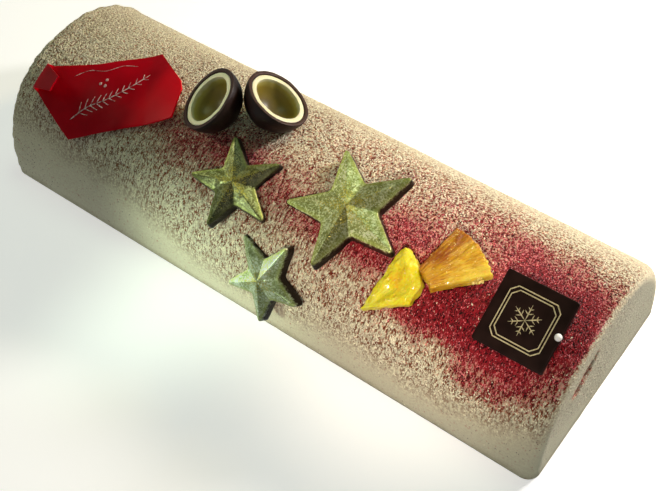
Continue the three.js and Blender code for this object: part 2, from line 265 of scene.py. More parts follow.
# joins rings of points and closes them with a point at each end, at the given heights
def closedRings(rows, firstHeight, lastHeight, flip=False):
    count = len(rows[0])
    points = np.vstack([[[0, 0, firstHeight]], *rows, [[0, 0, lastHeight]]])
    end = 1 + (len(rows) - 1) * count
    pairs = [(c, (c + 1) % count)[::-1 if flip else 1] for c in range(count)]
    faces = ringFaces(len(rows), count, start=1)
    faces += [(0, 1 + a, 1 + b) for a, b in pairs]
    faces += [(len(points) - 1, end + b, end + a) for a, b in pairs]
    return points, faces


# a ring of points at one height
def ring(plan, height):
    return np.column_stack([plan, np.full(len(plan), height)])


# the arch of the log

logBody = {
    "length": 259.0, "width": 90.0, "height": 50.0, "power": 2.3, "endRadius": 5.0,
    "rings": 436, "columns": 206, "baseShare": 0.06,
}
clearance = 0.3  # left between each topping and the log's skin
archSteps = 4001
archStride = 0.2  # half the length over which the slope of the arch is read

angles = np.linspace(0, np.pi, archSteps)
cosines = np.cos(angles)
archY = -logBody["width"] / 2 * np.sign(cosines) * np.abs(cosines) ** (2 / logBody["power"])
archZ = logBody["height"] * np.abs(np.sin(angles)) ** (2 / logBody["power"])
archRun = np.concatenate([[0], np.cumsum(np.hypot(np.diff(archY), np.diff(archZ)))])
archRun -= archRun[archSteps // 2]


# the point that far above the skin, run along the arch from the crown, the front being negative
def aboveLog(x, run, height):
    x, run, height = np.broadcast_arrays(*[np.asarray(v, float) for v in (x, run, height)])
    y, z = (np.interp(run, archRun, arch) for arch in (archY, archZ))
    alongY, alongZ = (np.interp(run + archStride, archRun, arch) - np.interp(run - archStride, archRun, arch)
                      for arch in (archY, archZ))
    size = np.hypot(alongY, alongZ)
    return np.stack([x, y - alongZ / size * height, z + alongY / size * height], -1)


def insideLog(points, grow):
    y = np.abs(points[:, 1]) / (logBody["width"] / 2 + grow)
    z = np.maximum(points[:, 2], 0) / (logBody["height"] + grow)
    return y ** logBody["power"] + z ** logBody["power"] < 1


# moves what would sink into the log back out along the given direction
def liftOff(piece, direction):
    points = readPoints(piece) / mm
    direction = unit(direction)
    low = np.zeros(len(points))
    high = np.where(insideLog(points, clearance), 8.0, 0.0)
    for _ in range(24):
        middle = (low + high) / 2
        inside = insideLog(points + direction * middle[:, None], clearance)
        low = np.where(inside, middle, low)
        high = np.where(inside, high, middle)
    writePoints(piece, (points + direction * high[:, None]) * mm)
    return piece


# the log's form

def buildVelvetMaterial():
    # cocoa butter velvet: chilled mousse sprayed with coloured cocoa butter, matt with a fine pebbled grain,
    # burgundy powder lying between paler grains
    material, add = startMaterial("cocoaButterVelvet")
    place = add("TexCoord").outputs["Object"]
    burgundy, brown, relief, streak, foot, chipped, hollow = (
        add("Attribute", attribute_name=name).outputs["Fac"]
        for name in ("burgundy", "brown", "relief", "streak", "foot", "chip", "hollow"))
    skinPlace = add("Attribute", attribute_name="skinPlace").outputs["Vector"]
    # grains 0.9 mm across, streaks 0.8 by 2.7 mm running down the slope
    pebbles = add("TexNoise", {"Vector": place, "Scale": 1 / 0.00088, "Detail": 1.6, "Roughness": 0.55})
    slope = add("VectorMath MULTIPLY", [skinPlace, (1 / 0.0008, 1 / 0.0027, 1.0)])
    streaks = add("TexNoise", {"Vector": slope, "Scale": 1.0, "Detail": 1.6, "Roughness": 0.55,
                               "Distortion": 0.6})
    grain = add("Mix", {0: add("Math MULTIPLY", [streak, 0.78]), 2: pebbles, 3: streaks})
    settled = add("Math MULTIPLY_ADD", [hollow, 0.035, grain])
    # coverage turns into a threshold on the grain
    threshold = add("MapRange", [burgundy, 0.0, 1.0, 0.70, 0.34])
    over = add("Math SUBTRACT", [settled, threshold])
    powder = add("MapRange SMOOTHSTEP", [over, -0.04, 0.04])
    # ivory mousse, its warmth varying at random, tinted crimson where powder drifts over it
    drift = add("TexNoise", {"Vector": place, "Scale": 1 / 0.022, "Detail": 3.0})
    ivory = add("Mix RGBA", {0: drift, 6: "#f5ebcd", 7: "#ece2c0"})
    paleGrain = add("Mix RGBA", {0: add("MapRange", [burgundy, 0.25, 0.9]), 6: ivory, 7: "#c02c3a"})
    ground = add("ValToRGB", [burgundy], [(0.0, "#d09070"), (0.22, "#cc7050"), (0.42, "#c03c34"),
                                          (0.62, "#a01026"), (0.85, "#8a031c"), (1.0, "#6a0018")])
    # the ground darkens down into the hollows of the grain: thicker powder there, and painted shade
    deep = add("MapRange", [over, 0.0, 0.22, 1.25, 0.22])
    ground = add("HueSaturation", {"Color": ground, "Value": deep})
    sprayed = add("Mix RGBA", {0: powder, 6: paleGrain, 7: ground})
    # painted shade gathers between the grains, tinted warm brown
    grainGapShade = add("MapRange SMOOTHSTEP", [settled, 0.37, 0.6, 0.0, 0.95])
    grainGapShade = add("Math MULTIPLY", [grainGapShade, relief])
    sprayed = add("Mix RGBA", {0: grainGapShade, 6: sprayed, 7: "#945c3e"}, blend_type="MULTIPLY")
    # brown dots about 0.5 mm across
    dots = add("TexVoronoi", {"Vector": place, "Scale": 1 / 0.0011})
    dotSize = add("Math LESS_THAN", [dots.outputs["Distance"], 0.21])
    dotKept = add("Math LESS_THAN", [add("SeparateColor", [dots.outputs["Color"]]), brown])
    dotMask = add("Math MULTIPLY", [add("Math MULTIPLY", [dotSize, dotKept]), 0.75])
    dotted = add("Mix RGBA", {0: dotMask, 6: sprayed, 7: "#8a4a34"})
    # a darker beige along the lowest few millimetres of the skin
    footed = add("Mix RGBA", {0: add("Math MULTIPLY", [foot, 0.45]), 6: dotted, 7: "#a8946a"})
    # where the skin has chipped off, rough brown and burgundy crumb
    crumb = add("TexNoise", {"Vector": place, "Scale": 1 / 0.0022, "Detail": 3.0})
    crumb = add("ValToRGB", [crumb], [(0.38, "#4c0a12"), (0.6, "#8c5238")])
    colour = add("Mix RGBA", {0: chipped, 6: footed, 7: crumb})
    # powder lies low, pale grains stand proud
    height = add("Math MULTIPLY", [grain, relief])
    fine = add("TexNoise", {"Vector": place, "Scale": 1 / 0.00028, "Detail": 2.0})
    height = add("Math MULTIPLY_ADD", [fine, 0.16, height])
    return endMaterial(material, {
        "Base Color": colour, "Specular IOR Level": 0.3,
        "Roughness": add("MapRange", [burgundy, 0.3, 1.0, 0.72, 0.4])}, (1.0, 0.003, height), invert=True)


velvet = buildVelvetMaterial()


logInputs = {
    "Length": logBody["length"] * mm, "Width": logBody["width"] * mm, "Height": logBody["height"] * mm,
    "Power": logBody["power"], "End Radius": logBody["endRadius"] * mm, "Base Share": logBody["baseShare"],
    "Rings": logBody["rings"], "Columns": logBody["columns"], "Finish": velvet}


# bends a flat grid round the arch and over both ends; u runs along the log, v round it
def buildLogTree():
    tree, add, given = startTree("archedLog", logInputs)
    grid = add("MeshGrid", [2.0, 1.0, given["Rings"], given["Columns"]])
    place = add("SeparateXYZ", [add("InputPosition")]).outputs
    value = {**{label: given[label] for label in logInputs}, "u": place["X"], "v": place["Y"]}
    quarter = math.pi / 2
    formulas = {  # each is an operation and its terms
        "straight": ("SUBTRACT", ("MULTIPLY", "Length", 0.5), "End Radius"),
        "bendRun": ("MULTIPLY", "End Radius", quarter),
        "faceRun": ("MULTIPLY", "Height", 0.95),
        "along": ("MULTIPLY", "u", ("ADD", ("ADD", "straight", "bendRun"), "faceRun")),
        "reach": ("ABSOLUTE", "along"),
        "bend": ("MAXIMUM", ("SUBTRACT", "reach", "straight"), 0.0),
        "turn": ("MINIMUM", ("DIVIDE", "bend", "End Radius"), quarter),
        "outward": ("MULTIPLY_ADD", ("SINE", "turn"), "End Radius", ("MINIMUM", "reach", "straight")),
        "x": ("MULTIPLY", "outward", ("SIGN", "along")),
        "inset": ("MULTIPLY", ("SUBTRACT", 1.0, ("COSINE", "turn")), "End Radius"),
        "faceIn": ("MAXIMUM", ("SUBTRACT", "bend", "bendRun"), 0.0),
        "keep": ("SUBTRACT", 1.0, ("DIVIDE", "faceIn", "faceRun")),
        "around": ("ADD", "v", 0.5),
        "archShare": ("SUBTRACT", 1.0, "Base Share"),
        "archAngle": ("MULTIPLY", ("MINIMUM", ("DIVIDE", "around", "archShare"), 1.0), math.pi),
        "cosine": ("COSINE", "archAngle"),
        "exponent": ("DIVIDE", 2.0, "Power"),
        "up": ("POWER", ("MAXIMUM", ("SINE", "archAngle"), 0.0), "exponent"),
        "side": ("MULTIPLY", ("POWER", ("ABSOLUTE", "cosine"), "exponent"), ("SIGN", "cosine")),
        "basePart": ("DIVIDE", ("MAXIMUM", ("SUBTRACT", "around", "archShare"), 0.0), "Base Share"),
        "closing": ("MULTIPLY_ADD", "basePart", -2.0, ("MULTIPLY", "side", -1.0)),
        "halfWidth": ("SUBTRACT", ("MULTIPLY_ADD", "Width", 0.5, 0.0), "inset"),
        "y": ("MULTIPLY", ("MULTIPLY", "closing", "halfWidth"), "keep"),
        "middle": ("MULTIPLY", "Height", 0.4),
        "high": ("MULTIPLY", "up", ("SUBTRACT", "Height", "inset")),
        "z": ("MULTIPLY_ADD", ("SUBTRACT", "high", "middle"), "keep", "middle"),
    }

    def solve(term):
        if isinstance(term, tuple):
            return add("Math " + term[0], [solve(t) for t in term[1:]])
        return value.get(term, term)

    for name, formula in formulas.items():
        value[name] = solve(formula)
    made = add("CombineXYZ", [value["x"], value["y"], value["z"]])
    shaped = add("SetPosition", {"Geometry": grid, "Position": made})
    return endTree(tree, add, given, add("MergeByDistance", {"Geometry": shaped, "Distance": 0.00002}))


logSkin = newPiece("log_skin")
bakeTree(logSkin, buildLogTree(), logInputs)
tidyMesh(logSkin)
print("log form:", len(logSkin.data.polygons), "faces")


# where the spray lies on the log

# a shallow chip in the right end, from one (y, z) to the other
chip = {"from": (-9.5, 36.5), "to": (-21.0, 29.0), "width": 2.5, "depth": 0.9}

spray = {
    # the velvet grain ends this far down the front, in pairs of x and run
    "lowerLimit": ((-130, -60, -30, 0, 45, 90, 130), (-42, -50, -60, -64, -59, -61, -51)),
    # centre along x, centre along the arch, reach along x, reach along the arch, strength
    "burgundy": {
        "aroundTile": (108, -15, 27, 18, 1.0), "rightEnd": (124, -12, 9, 20, 0.32),
        # the blobs under the wedge and between the shells are made stronger to paint the toppings' cast shadows
        # over the burgundy powder there
        "aboveTile": (100, 4, 30, 11, 0.27), "wedgeShadowAndPowder": (85, -28, 20, 14, 0.92),
        "underChunk": (63, -33, 14, 9, 0.3), "shellShadowAndPowder": (-20, -13, 11, 7, 0.22),
        "besideStar": (56, -10, 15, 12, 0.55), "belowStar": (38, -23, 17, 8, 0.55),
        "middle": (0, -20, 42, 19, 0.5), "belowPlaque": (-50, -18, 24, 15, 0.34),
        "crown": (52, 13, 84, 15, 0.33), "lowFringe": (111, -40, 15, 11, 0.5),
        "fringe": (46, -44, 40, 11, 0.2), "leftDust": (-90, 10, 34, 26, 0.1),
    },
    "brown": {
        "leftEnd": (-122, 0, 14, 60, 0.46), "backLeft": (-70, 16, 60, 16, 0.5),
        "backRight": (44, 20, 74, 11, 0.34), "frontLeft": (-40, -28, 80, 16, 0.4),
        "lowRight": (70, -52, 50, 9, 0.3),
    },
}


def sumBlobs(blobs, x, run):
    return sum(strength * np.exp(-((x - centreX) / reachX) ** 2 - ((run - centreRun) / reachRun) ** 2)
               for centreX, centreRun, reachX, reachRun, strength in blobs.values())


def logFields(piece):
    x, y, z = (readPoints(piece) / mm).T
    half, halfLength = logBody["power"] / 2, logBody["length"] / 2
    turn = np.arctan2((np.maximum(z, 0) / logBody["height"]) ** half,
                      -np.sign(y) * (np.abs(y) / (logBody["width"] / 2)) ** half)
    run = np.interp(turn, angles, archRun)
    wobble, drift = (np.array([noiseAt(a / size, b / size, seed) for a, b in zip(x, run)])
                     for size, seed in ((9, 3.3), (13, 9.1)))
    onFace = smoothStep(halfLength - 2.2, halfLength - 0.1, np.abs(x))
    lowest = np.interp(x, *spray["lowerLimit"])
    upper = smoothStep(lowest - 9, lowest + 9, run + wobble * 4)  # 1 where the velvet grain lies
    back = smoothStep(34, 10, run)  # fades out behind the crown
    leftEase = 1 - 0.6 * smoothStep(-50, -80, x) * smoothStep(-12, 6, run)  # calmer round the plaque
    burgundy = sumBlobs(spray["burgundy"], x + drift * 5, run + wobble * 6) * smoothStep(46, 26, run)
    burgundy = burgundy * (1 - onFace) * (0.25 + 0.75 * upper)
    brown = sumBlobs(spray["brown"], x, run) * (1 - 0.7 * onFace) + 0.03
    # how far each point is from the chip's middle line
    first, last = np.array(chip["from"]), np.array(chip["to"])
    aside = np.stack([y, z], 1) - first
    along = np.clip(aside @ (last - first) / ((last - first) @ (last - first)), 0, 1)
    apart = np.hypot(*(aside - along[:, None] * (last - first)).T) + wobble * 2.4 + drift
    chipped = smoothStep(1.25, 0.75, apart / (chip["width"] * (0.65 + 0.5 * along))) * smoothStep(122, 126, x)
    burgundy = burgundy + 0.5 * smoothStep(6.5, 1.5, apart) * smoothStep(118, 124, x) * (0.3 + 0.7 * along)
    return {
        "chip": chipped,
        "burgundy": np.clip(burgundy, 0, 1.08),
        "brown": np.clip(brown, 0, 1),
        "relief": (0.1 + 0.9 * upper * (0.3 + 0.7 * back) * leftEase) * (1 - 0.7 * onFace),
        "streak": smoothStep(2, -22, run) * upper * (1 - onFace),
        "rim": smoothStep(-108, -126, x + wobble * 5) * (1 - 0.8 * onFace),
        "foot": smoothStep(4.5, 0, z + wobble * 1.5),
        "open": 1 - coveredShare(piece),
        "skinPlace": np.stack([x, run, np.zeros(len(x))], 1) * mm,
    }


# 1 where a topping rests within a millimetre or two of the skin
def coveredShare(piece, near=0.0018, lowest=0.004):
    points, faces = [], []
    for name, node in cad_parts.items():
        if name != "log_body":
            start = len(points)
            points += [v.co for v in node.data.vertices]
            faces += [[start + i for i in p.vertices] for p in node.data.polygons]
    tree = BVHTree.FromPolygons(points, faces)
    return np.array([
        float(point[2] > lowest and tree.ray_cast(Vector(point), Vector(normal), near)[0] is not None)
        for point, normal in zip(readPoints(piece), readNormals(piece))])


# velvet skin: relief, then spray grains

velvetRelief = {"Lump Width": 0.0019, "Lump Height": 0.0008, "Streak Width": 0.0015, "Streak Length": 0.0044,
                "Streak Height": 0.0012, "Foot Height": 0.0013, "Rim Width": 0.0042, "Rim Height": 0.0016,
                "Sag Width": 0.034, "Sag Height": 0.0006, "Seed": 5}


def buildReliefTree():
    tree, add, given = startTree("velvetRelief", {**velvetRelief, "Finish": velvet})
    position = add("InputPosition")
    start = add("VectorMath ADD", [position, add("Math MULTIPLY", [given["Seed"], 0.173])])
    skinPlace = add("InputNamedAttribute FLOAT_VECTOR", {"Name": "skinPlace"})
    total = None
    layers = [  # attribute, height, width, length
        ("relief", "Lump Height", "Lump Width", "Lump Width"),
        ("streak", "Streak Height", "Streak Width", "Streak Length"),
        ("foot", "Foot Height", "Lump Width", "Lump Width"),
        ("rim", "Rim Height", "Rim Width", "Rim Width"),
        (None, "Sag Height", "Sag Width", "Sag Width"),
    ]
    for attribute, height, width, length in layers:
        size = add("CombineXYZ", [given[width], given[length], given[width]])
        spot = add("VectorMath DIVIDE", [skinPlace if attribute == "streak" else start, size])
        bump = add("TexNoise", {"Vector": spot, "Scale": 1.0, "Detail": 1.0})
        level = add("Math MULTIPLY", [add("Math SUBTRACT", [bump, 0.5]), given[height]])
        if attribute:
            level = add("Math MULTIPLY", [level, add("InputNamedAttribute FLOAT", {"Name": attribute})])
        total = add("Math ADD", [level, total]) if total else level
        if attribute == "streak":
            grainy = total
    offset = add("VectorMath SCALE", {0: add("InputNormal"), "Scale": total})
    # the base stays flat
    raised = add("Compare GREATER_THAN", [add("SeparateXYZ", [position]).outputs["Z"], 0.0004])
    moved = add("SetPosition", {"Geometry": given["Geometry"], "Selection": raised, "Offset": offset})
    # the spray settles in the hollows, so the finish reads them in tenths of a millimetre
    hollow = add("Math MULTIPLY", [grainy, -10000.0])
    kept = add("StoreNamedAttribute", {"Geometry": moved, "Name": "hollow", "Value": hollow},
               data_type="FLOAT", domain="POINT")
    return endTree(tree, add, given, kept)


skinFields = logFields(logSkin)
for name, values in skinFields.items():
    setAttribute(logSkin, name, values)
chipDepth = skinFields["chip"] * chip["depth"] * mm
writePoints(logSkin, readPoints(logSkin) - readNormals(logSkin) * chipDepth[:, None])
bakeTree(logSkin, buildReliefTree(), {**velvetRelief, "Finish": velvet})
setMaterial(logSkin, velvet)
logSkin.data.shade_smooth()
print("velvet skin done")


# grains are low crystals of eight facets, laid down the slope; each kind is one piece
grains = {
    "ivory_grains": {
        "count": 22000, "width": 0.52, "length": 0.95, "height": 0.34, "seed": 11, "colour": "#f8efd2",
        "share": lambda f: f["relief"] ** 2 * np.clip(1.05 - 2.0 * f["burgundy"], 0.01, 1)},
    "rose_grains": {
        "count": 4000, "width": 0.4, "length": 0.85, "height": 0.28, "seed": 23, "colour": "#ea8084",
        "share": lambda f: (smoothStep(0.3, 0.7, f["burgundy"])
                            * (1 - 0.6 * smoothStep(0.8, 1.02, f["burgundy"])))},
    "salmon_grains": {
        "count": 9000, "width": 0.45, "length": 0.65, "height": 0.26, "seed": 31, "colour": "#dca184",
        "share": lambda f: smoothStep(0.06, 0.3, f["burgundy"]) * smoothStep(0.75, 0.45, f["burgundy"])},
    "burgundy_grains": {
        "count": 9000, "width": 0.55, "length": 0.9, "height": 0.36, "seed": 47, "colour": "#9c0a1e",
        "share": lambda f: smoothStep(0.25, 0.95, f["burgundy"])},
    "brown_grains": {
        "count": 11000, "width": 0.34, "length": 0.45, "height": 0.2, "seed": 59, "colour": "#7c4430",
        "share": lambda f: f["brown"] ** 1.5},
}
grainFloor = 0.9  # the lowest grain sits this far above the board


def spreadPoints(add, given):
    share = add("InputNamedAttribute FLOAT", {"Name": "grainShare"})
    density = add("Math MULTIPLY", [share, given["Density"]])
    return add("DistributePointsOnFaces", {
        "Mesh": given["Geometry"], "Density": density, "Seed": given["Seed"]}).outputs


def buildGrainTree():
    tree, add, given = startTree("sprayGrains", {
        "Density": 1.0, "Width": 1.0, "Length": 1.0, "Height": 1.0, "Smallest": 1.0, "Seed": 1,
        "Finish": velvet})
    spread = spreadPoints(add, given)
    # the grain's length follows the fall of the slope, with some scatter
    fall = add("VectorMath CROSS_PRODUCT", [spread["Normal"], (1.0, 0.0, 0.0)])
    scatter = add("RandomValue FLOAT_VECTOR", {0: (-0.7,) * 3, 1: (0.7,) * 3, "Seed": given["Seed"]})
    turn = add("AlignRotationToVector", {
        "Rotation": spread["Rotation"], "Vector": add("VectorMath ADD", [fall, scatter])},
        axis="Y", pivot_axis="Z")
    crystal = add("MeshUVSphere", {"Segments": 4, "Rings": 2, "Radius": 0.5})
    size = add("CombineXYZ", [given["Width"], given["Length"], given["Height"]])
    chance = add("RandomValue FLOAT", {2: given["Smallest"], 3: 1.35, "Seed": given["Seed"]})
    size = add("VectorMath SCALE", {0: size, "Scale": chance})
    return endTree(tree, add, given, add("InstanceOnPoints", {
        "Points": spread["Points"], "Instance": crystal, "Rotation": turn, "Scale": size}))


# the area of the mesh, each face counted by its share
def sharedArea(mesh, values):
    area = readArray(mesh.polygons, "area", 1, float)
    corner = readArray(mesh.loops, "vertex_index", 1, int)
    first = readArray(mesh.polygons, "loop_start", 1, int)
    means = np.add.reduceat(values[corner], first) / np.diff(np.append(first, len(corner)))
    return float((area * means).sum())


# makes grains on a copy of the source; count is how many would lie there at full share
def scattered(name, source, share, count, tree, inputs):
    piece = newPiece(name)
    piece.data = source.data.copy()
    setAttribute(piece, "grainShare", share)
    return bakeTree(piece, tree, {"Density": count / sharedArea(piece.data, share), **inputs})


def grainSizes(kind):
    return {label: kind[label.lower()] * mm for label in ("Width", "Length", "Height")}


def buildGrainMaterial(name, colour):
    # cocoa butter crystals: matt with a faint glint on each facet, and each lot varies a little in tone
    material, add = startMaterial(name + "Butter")
    tone = add("TexNoise", {"Vector": add("TexCoord").outputs["Object"], "Scale": 1 / 0.0016, "Detail": 2.0})
    tone = add("HueSaturation", {"Color": colour, "Value": add("MapRange", [tone, 0.3, 0.7, 0.7, 1.15])})
    return endMaterial(material, {"Base Color": tone, "Roughness": 0.5, "Specular IOR Level": 0.45})


grainTree = buildGrainTree()
fields = {name: readShare(logSkin, name) for name in ("burgundy", "brown", "relief", "open")}
grainPieces = []
for name, kind in grains.items():
    share = kind["share"](fields) * fields["open"] * (readPoints(logSkin)[:, 2] > grainFloor * mm)
    material = buildGrainMaterial(name.split("_")[0], kind["colour"])
    piece = scattered(name, logSkin, share, kind["count"], grainTree, {
        **grainSizes(kind), "Smallest": 0.45, "Seed": kind["seed"], "Finish": material})
    setMaterial(piece, material)
    piece.data.shade_flat()
    grainPieces.append(piece)
    print(name, len(piece.data.polygons), "faces")


# raised lines: thin beads piped along a path on a surface

# path points are (along, across); toSurface maps (along, across, height) to metres
def pipedLine(path, width, height, toSurface, steps=5, lift=0.0, taper=False):
    path = np.asarray(path, float)
    side = np.gradient(path, axis=0)
    side = unit(np.stack([-side[:, 1], side[:, 0]], 1))
    fromEnd = np.minimum(np.arange(len(path)), np.arange(len(path))[::-1])
    widths = width * (np.clip(fromEnd / 2.5, 0.25, 1) if taper else np.ones(len(path)))
    points = [[*(point + across * math.cos(angle) * wide / 2), lift + math.sin(angle) * height]
              for point, across, wide in zip(path, side, widths)
              for angle in (math.pi * k / (steps - 1) for k in range(steps))]
    last = (len(path) - 1) * steps
    faces = ringFaces(len(path), steps)
    faces += [tuple(range(steps - 1, -1, -1)), tuple(last + k for k in range(steps))]
    return toSurface(np.array(points)), faces


def joinParts(name, parts, material, smooth=True):
    points, faces = [], []
    for partPoints, partFaces in parts:
        faces += [tuple(i + len(points) for i in f) for f in partFaces]
        points += [tuple(p) for p in partPoints]
    return tidyMesh(newPiece(name, points, faces, material, smooth), 0)


# scatters grains over several sources in equal numbers and joins them into one piece
def scatterOver(name, sources, shares, count, tree, inputs):
    parts = []
    for source, share in zip(sources, shares):
        part = scattered("part_" + source.name, source, share, count / len(sources), tree, inputs)
        parts.append((readPoints(part), [tuple(p.vertices) for p in part.data.polygons]))
        bpy.data.objects.remove(part)
    return joinParts(name, parts, inputs["Finish"], smooth=False)


# a smooth line through the points
def curve(points, steps):
    points = np.array([points[0], *points, points[-1]], float)
    line = []
    for a, b, c, d in zip(points, points[1:], points[2:], points[3:]):
        for t in (s / steps for s in range(steps)):
            line.append(0.5 * (2 * b + (c - a) * t + (2 * a - 5 * b + 4 * c - d) * t * t
                               + (3 * b - a - 3 * c + d) * t ** 3))
    return np.array([*line, points[-1]])


def straightLine(points, step=1.2):
    points = np.array(points, float)
    line = []
    for a, b in zip(points[:-1], points[1:]):
        pieces = max(1, int(np.linalg.norm(b - a) / step))
        line += [a + (b - a) * k / pieces for k in range(pieces)]
    return np.array([*line, points[-1]])


# stars

starShape = {"wall": 4.0, "peak": 2.9, "valley": 0.44, "tipWidth": 1.3, "draft": 0.35, "edgeRadius": 0.42,
             "tipSteps": 4, "sideSteps": 26, "topRows": 30, "edgeRows": 4, "wallRows": 9, "bottomRows": 9,
             "soften": 5}
# dust is how thickly each facet is brushed, together with painted light and shade on it, in turn round the star
stars = {
    "star_small": {
        "radius": 18.4, "centre": (-13.2, -25.4, 46.9), "face": (0.058, -0.446, 0.893),
        "firstTip": (-0.538, 0.74, 0.405), "arms": (1, 1, 1, 1, 1), "seed": 3, "slot": "green_gold_small",
        "lustre": "#86864a", "pale": "#c8cc90", "deep": "#444224",
        "dust": (0.98, 1.8, 0.5, 0.46, 0.14, 0.44, 1.2, 0.16, 0.75, 0.26)},
    "star_large": {
        "radius": 24.6, "centre": (31.2, -14.0, 51.1), "face": (-0.095, -0.299, 0.949),
        "firstTip": (-0.601, 0.778, 0.185), "arms": (1, 1, 1, 1, 1), "seed": 8, "slot": "green_gold_large",
        "lustre": "#9aa05c", "pale": "#dce2b2", "deep": "#646830",
        "dust": (2.0, 1.5, 1.45, 1.1, 0.42, 1.6, 0.8, 0.56, 0.8, 1.1)},
    "star_front": {
        "radius": 17.9, "centre": (12.4, -44.1, 27), "face": (-0.137, -0.835, 0.535),
        "firstTip": (-0.767, 0.431, 0.475), "arms": (1, 1, 0.9, 0.98, 1), "seed": 14,
        "slot": "green_gold_front", "lustre": "#b8c68c", "pale": "#f0fbe0", "deep": "#7c8450",
        "dust": (0.8, 2.0, 0.9, 0.86, 0.36, 0.68, 0.52, 0.54, 2.1, 0.54)},
}


def starRim(star):
    corners = []
    for i, arm in enumerate(star["arms"]):
        tip = math.pi / 2 + i * 2 * math.pi / 5
        valley = tip + math.pi / 5
        reach, inner = star["radius"] * arm, star["radius"] * starShape["valley"]
        for across in (-starShape["tipWidth"] / 2, starShape["tipWidth"] / 2):
            corners.append((reach * math.cos(tip) - across * math.sin(tip),
                            reach * math.sin(tip) + across * math.cos(tip)))
        corners.append((inner * math.cos(valley), inner * math.sin(valley)))
    rim = []
    for k, corner in enumerate(corners):
        after = corners[(k + 1) % len(corners)]
        steps = starShape["tipSteps"] if k % 3 == 0 else starShape["sideSteps"]
        rim += [[a + (b - a) * s / steps for a, b in zip(corner, after)] for s in range(steps)]
    rim = np.array(rim)
    for _ in range(starShape["soften"]):
        rim = rim * 0.5 + (np.roll(rim, 1, 0) + np.roll(rim, -1, 0)) * 0.25
    return rim


def buildStar(name, star, material):
    rim = starRim(star)
    count = len(rim)
    outward = np.roll(rim, -1, 0) - np.roll(rim, 1, 0)
    outward = unit(np.stack([outward[:, 1], -outward[:, 0]], 1))
    radius, wall, peak = starShape["edgeRadius"], starShape["wall"], starShape["peak"]
    draft, wallRows, bottomRows = starShape["draft"], starShape["wallRows"], starShape["bottomRows"]
    rows, levels = [], []  # a level is 0 at the heart, 1 at the edge, 2.5 at the foot of the wall
    for t in np.linspace(0, 1, starShape["topRows"])[1:] ** 0.9:
        rows.append(ring((rim - outward * radius) * t, peak * (1 - t)))
        levels.append(t)
    for k in range(1, starShape["edgeRows"] + 1):
        angle = math.pi / 2 * k / starShape["edgeRows"]
        rows.append(ring(rim - outward * radius * (1 - math.sin(angle)), -radius * (1 - math.cos(angle))))
        levels.append(1.0 + 0.12 * k)
    for t in (k / wallRows for k in range(1, wallRows + 1)):
        rows.append(ring(rim + outward * draft * t, -radius - (wall - radius) * t))
        levels.append(1.5 + t)
    for t in (1 - k / bottomRows for k in range(1, bottomRows)):
        rows.append(ring((rim + outward * draft) * t, -wall))
        levels.append(2.6)
    points, faces = closedRings(rows, peak, -wall)
    piece = newPiece(name, placed(points, star["centre"], star["face"], star["firstTip"]), faces, material)
    tidyMesh(piece)
    setAttribute(piece, "fromHeart", np.concatenate([[0], np.repeat(levels, count), [2.6]]))
    # the dust lies unevenly, brushed thick on some facets and thin on others, and each facet's factor also
    # carries painted light and shade
    facet = ((np.arctan2(points[:, 1], points[:, 0]) - math.pi / 2) / (math.pi / 5) % 10).astype(int) % 10
    setAttribute(piece, "dustAndFacetLight", np.array(star["dust"])[facet])
    roughen(piece, 0.2, 4.5, star["seed"])
    roughen(piece, 0.09, 1.3, star["seed"] + 1)
    return liftOff(piece, star["face"])


def buildLustreMaterial(name, star):
    # dark chocolate brushed with green-gold lustre dust: satin metal flakes over brown, thin on the walls
    material, add = startMaterial("lustreChocolate_" + name)
    place = add("TexCoord").outputs["Object"]
    fromHeart, dustAndFacetLight = (add("Attribute", attribute_name=n).outputs["Fac"] for n in ("fromHeart", "dustAndFacetLight"))
    # flakes of dust 0.5 mm across, drawn coarse so that they show
    flakes = add("TexVoronoi", {"Vector": place, "Scale": 1 / 0.00048})
    flake = add("SeparateColor", [flakes.outputs["Color"]]).outputs
    cloud = add("TexNoise", {"Vector": place, "Scale": 1 / 0.0042, "Detail": 4.0, "Roughness": 0.6})
    tone = add("Math MULTIPLY_ADD", [flake[0], 0.5, cloud])
    dust = add("ValToRGB", [tone], [(0.3, star["deep"]), (0.72, star["lustre"]), (1.0, star["pale"])])
    # gold flakes, thickest at the heart
    heart = add("MapRange", [fromHeart, 0.05, 0.62, 0.5, 0.0])
    goldShare = add("Math MULTIPLY", [add("Math LESS_THAN", [flake[1], heart]), 0.7])
    gold = add("Mix RGBA", {0: goldShare, 6: dust, 7: "#beac38"})
    # a yellow-green line along the outer edge: thicker dust with a painted highlight on the rounded edge
    rimIn = add("MapRange", [fromHeart, 0.84, 0.98, 0.0, 0.42])
    rimOut = add("MapRange", [fromHeart, 1.2, 1.5, 1.0, 0.0])
    gold = add("Mix RGBA", {0: add("Math MULTIPLY", [rimIn, rimOut]), 6: gold, 7: "#bcc45c"})
    # the dust wears thin down the walls and shows the chocolate
    worn = add("TexNoise", {"Vector": place, "Scale": 1 / 0.0016, "Detail": 5.0, "Roughness": 0.65})
    thin = add("Math MULTIPLY_ADD", [add("MapRange", [fromHeart, 1.1, 2.1]), 0.62, worn])
    colour = add("Mix RGBA", {0: add("MapRange", [thin, 0.72, 0.92]), 6: gold, 7: "#33231a"})
    # the facet factor brightens or darkens each facet: painted light and shade as well as uneven dust
    return endMaterial(material, {
        "Base Color": add("HueSaturation", {"Color": colour, "Value": dustAndFacetLight}), "Roughness": 0.36,
        "Metallic": 0.55, "Specular IOR Level": 0.5}, (0.6, 0.0002, tone))


starPieces = {name: buildStar(name + "_dusted", star, buildLustreMaterial(name, star))
              for name, star in stars.items()}
print("stars done")


# gold glitter flakes scattered over the hearts of the stars
glitter = {"count": 2600, "size": 0.27, "seed": 71, "stars": ("star_small", "star_large")}


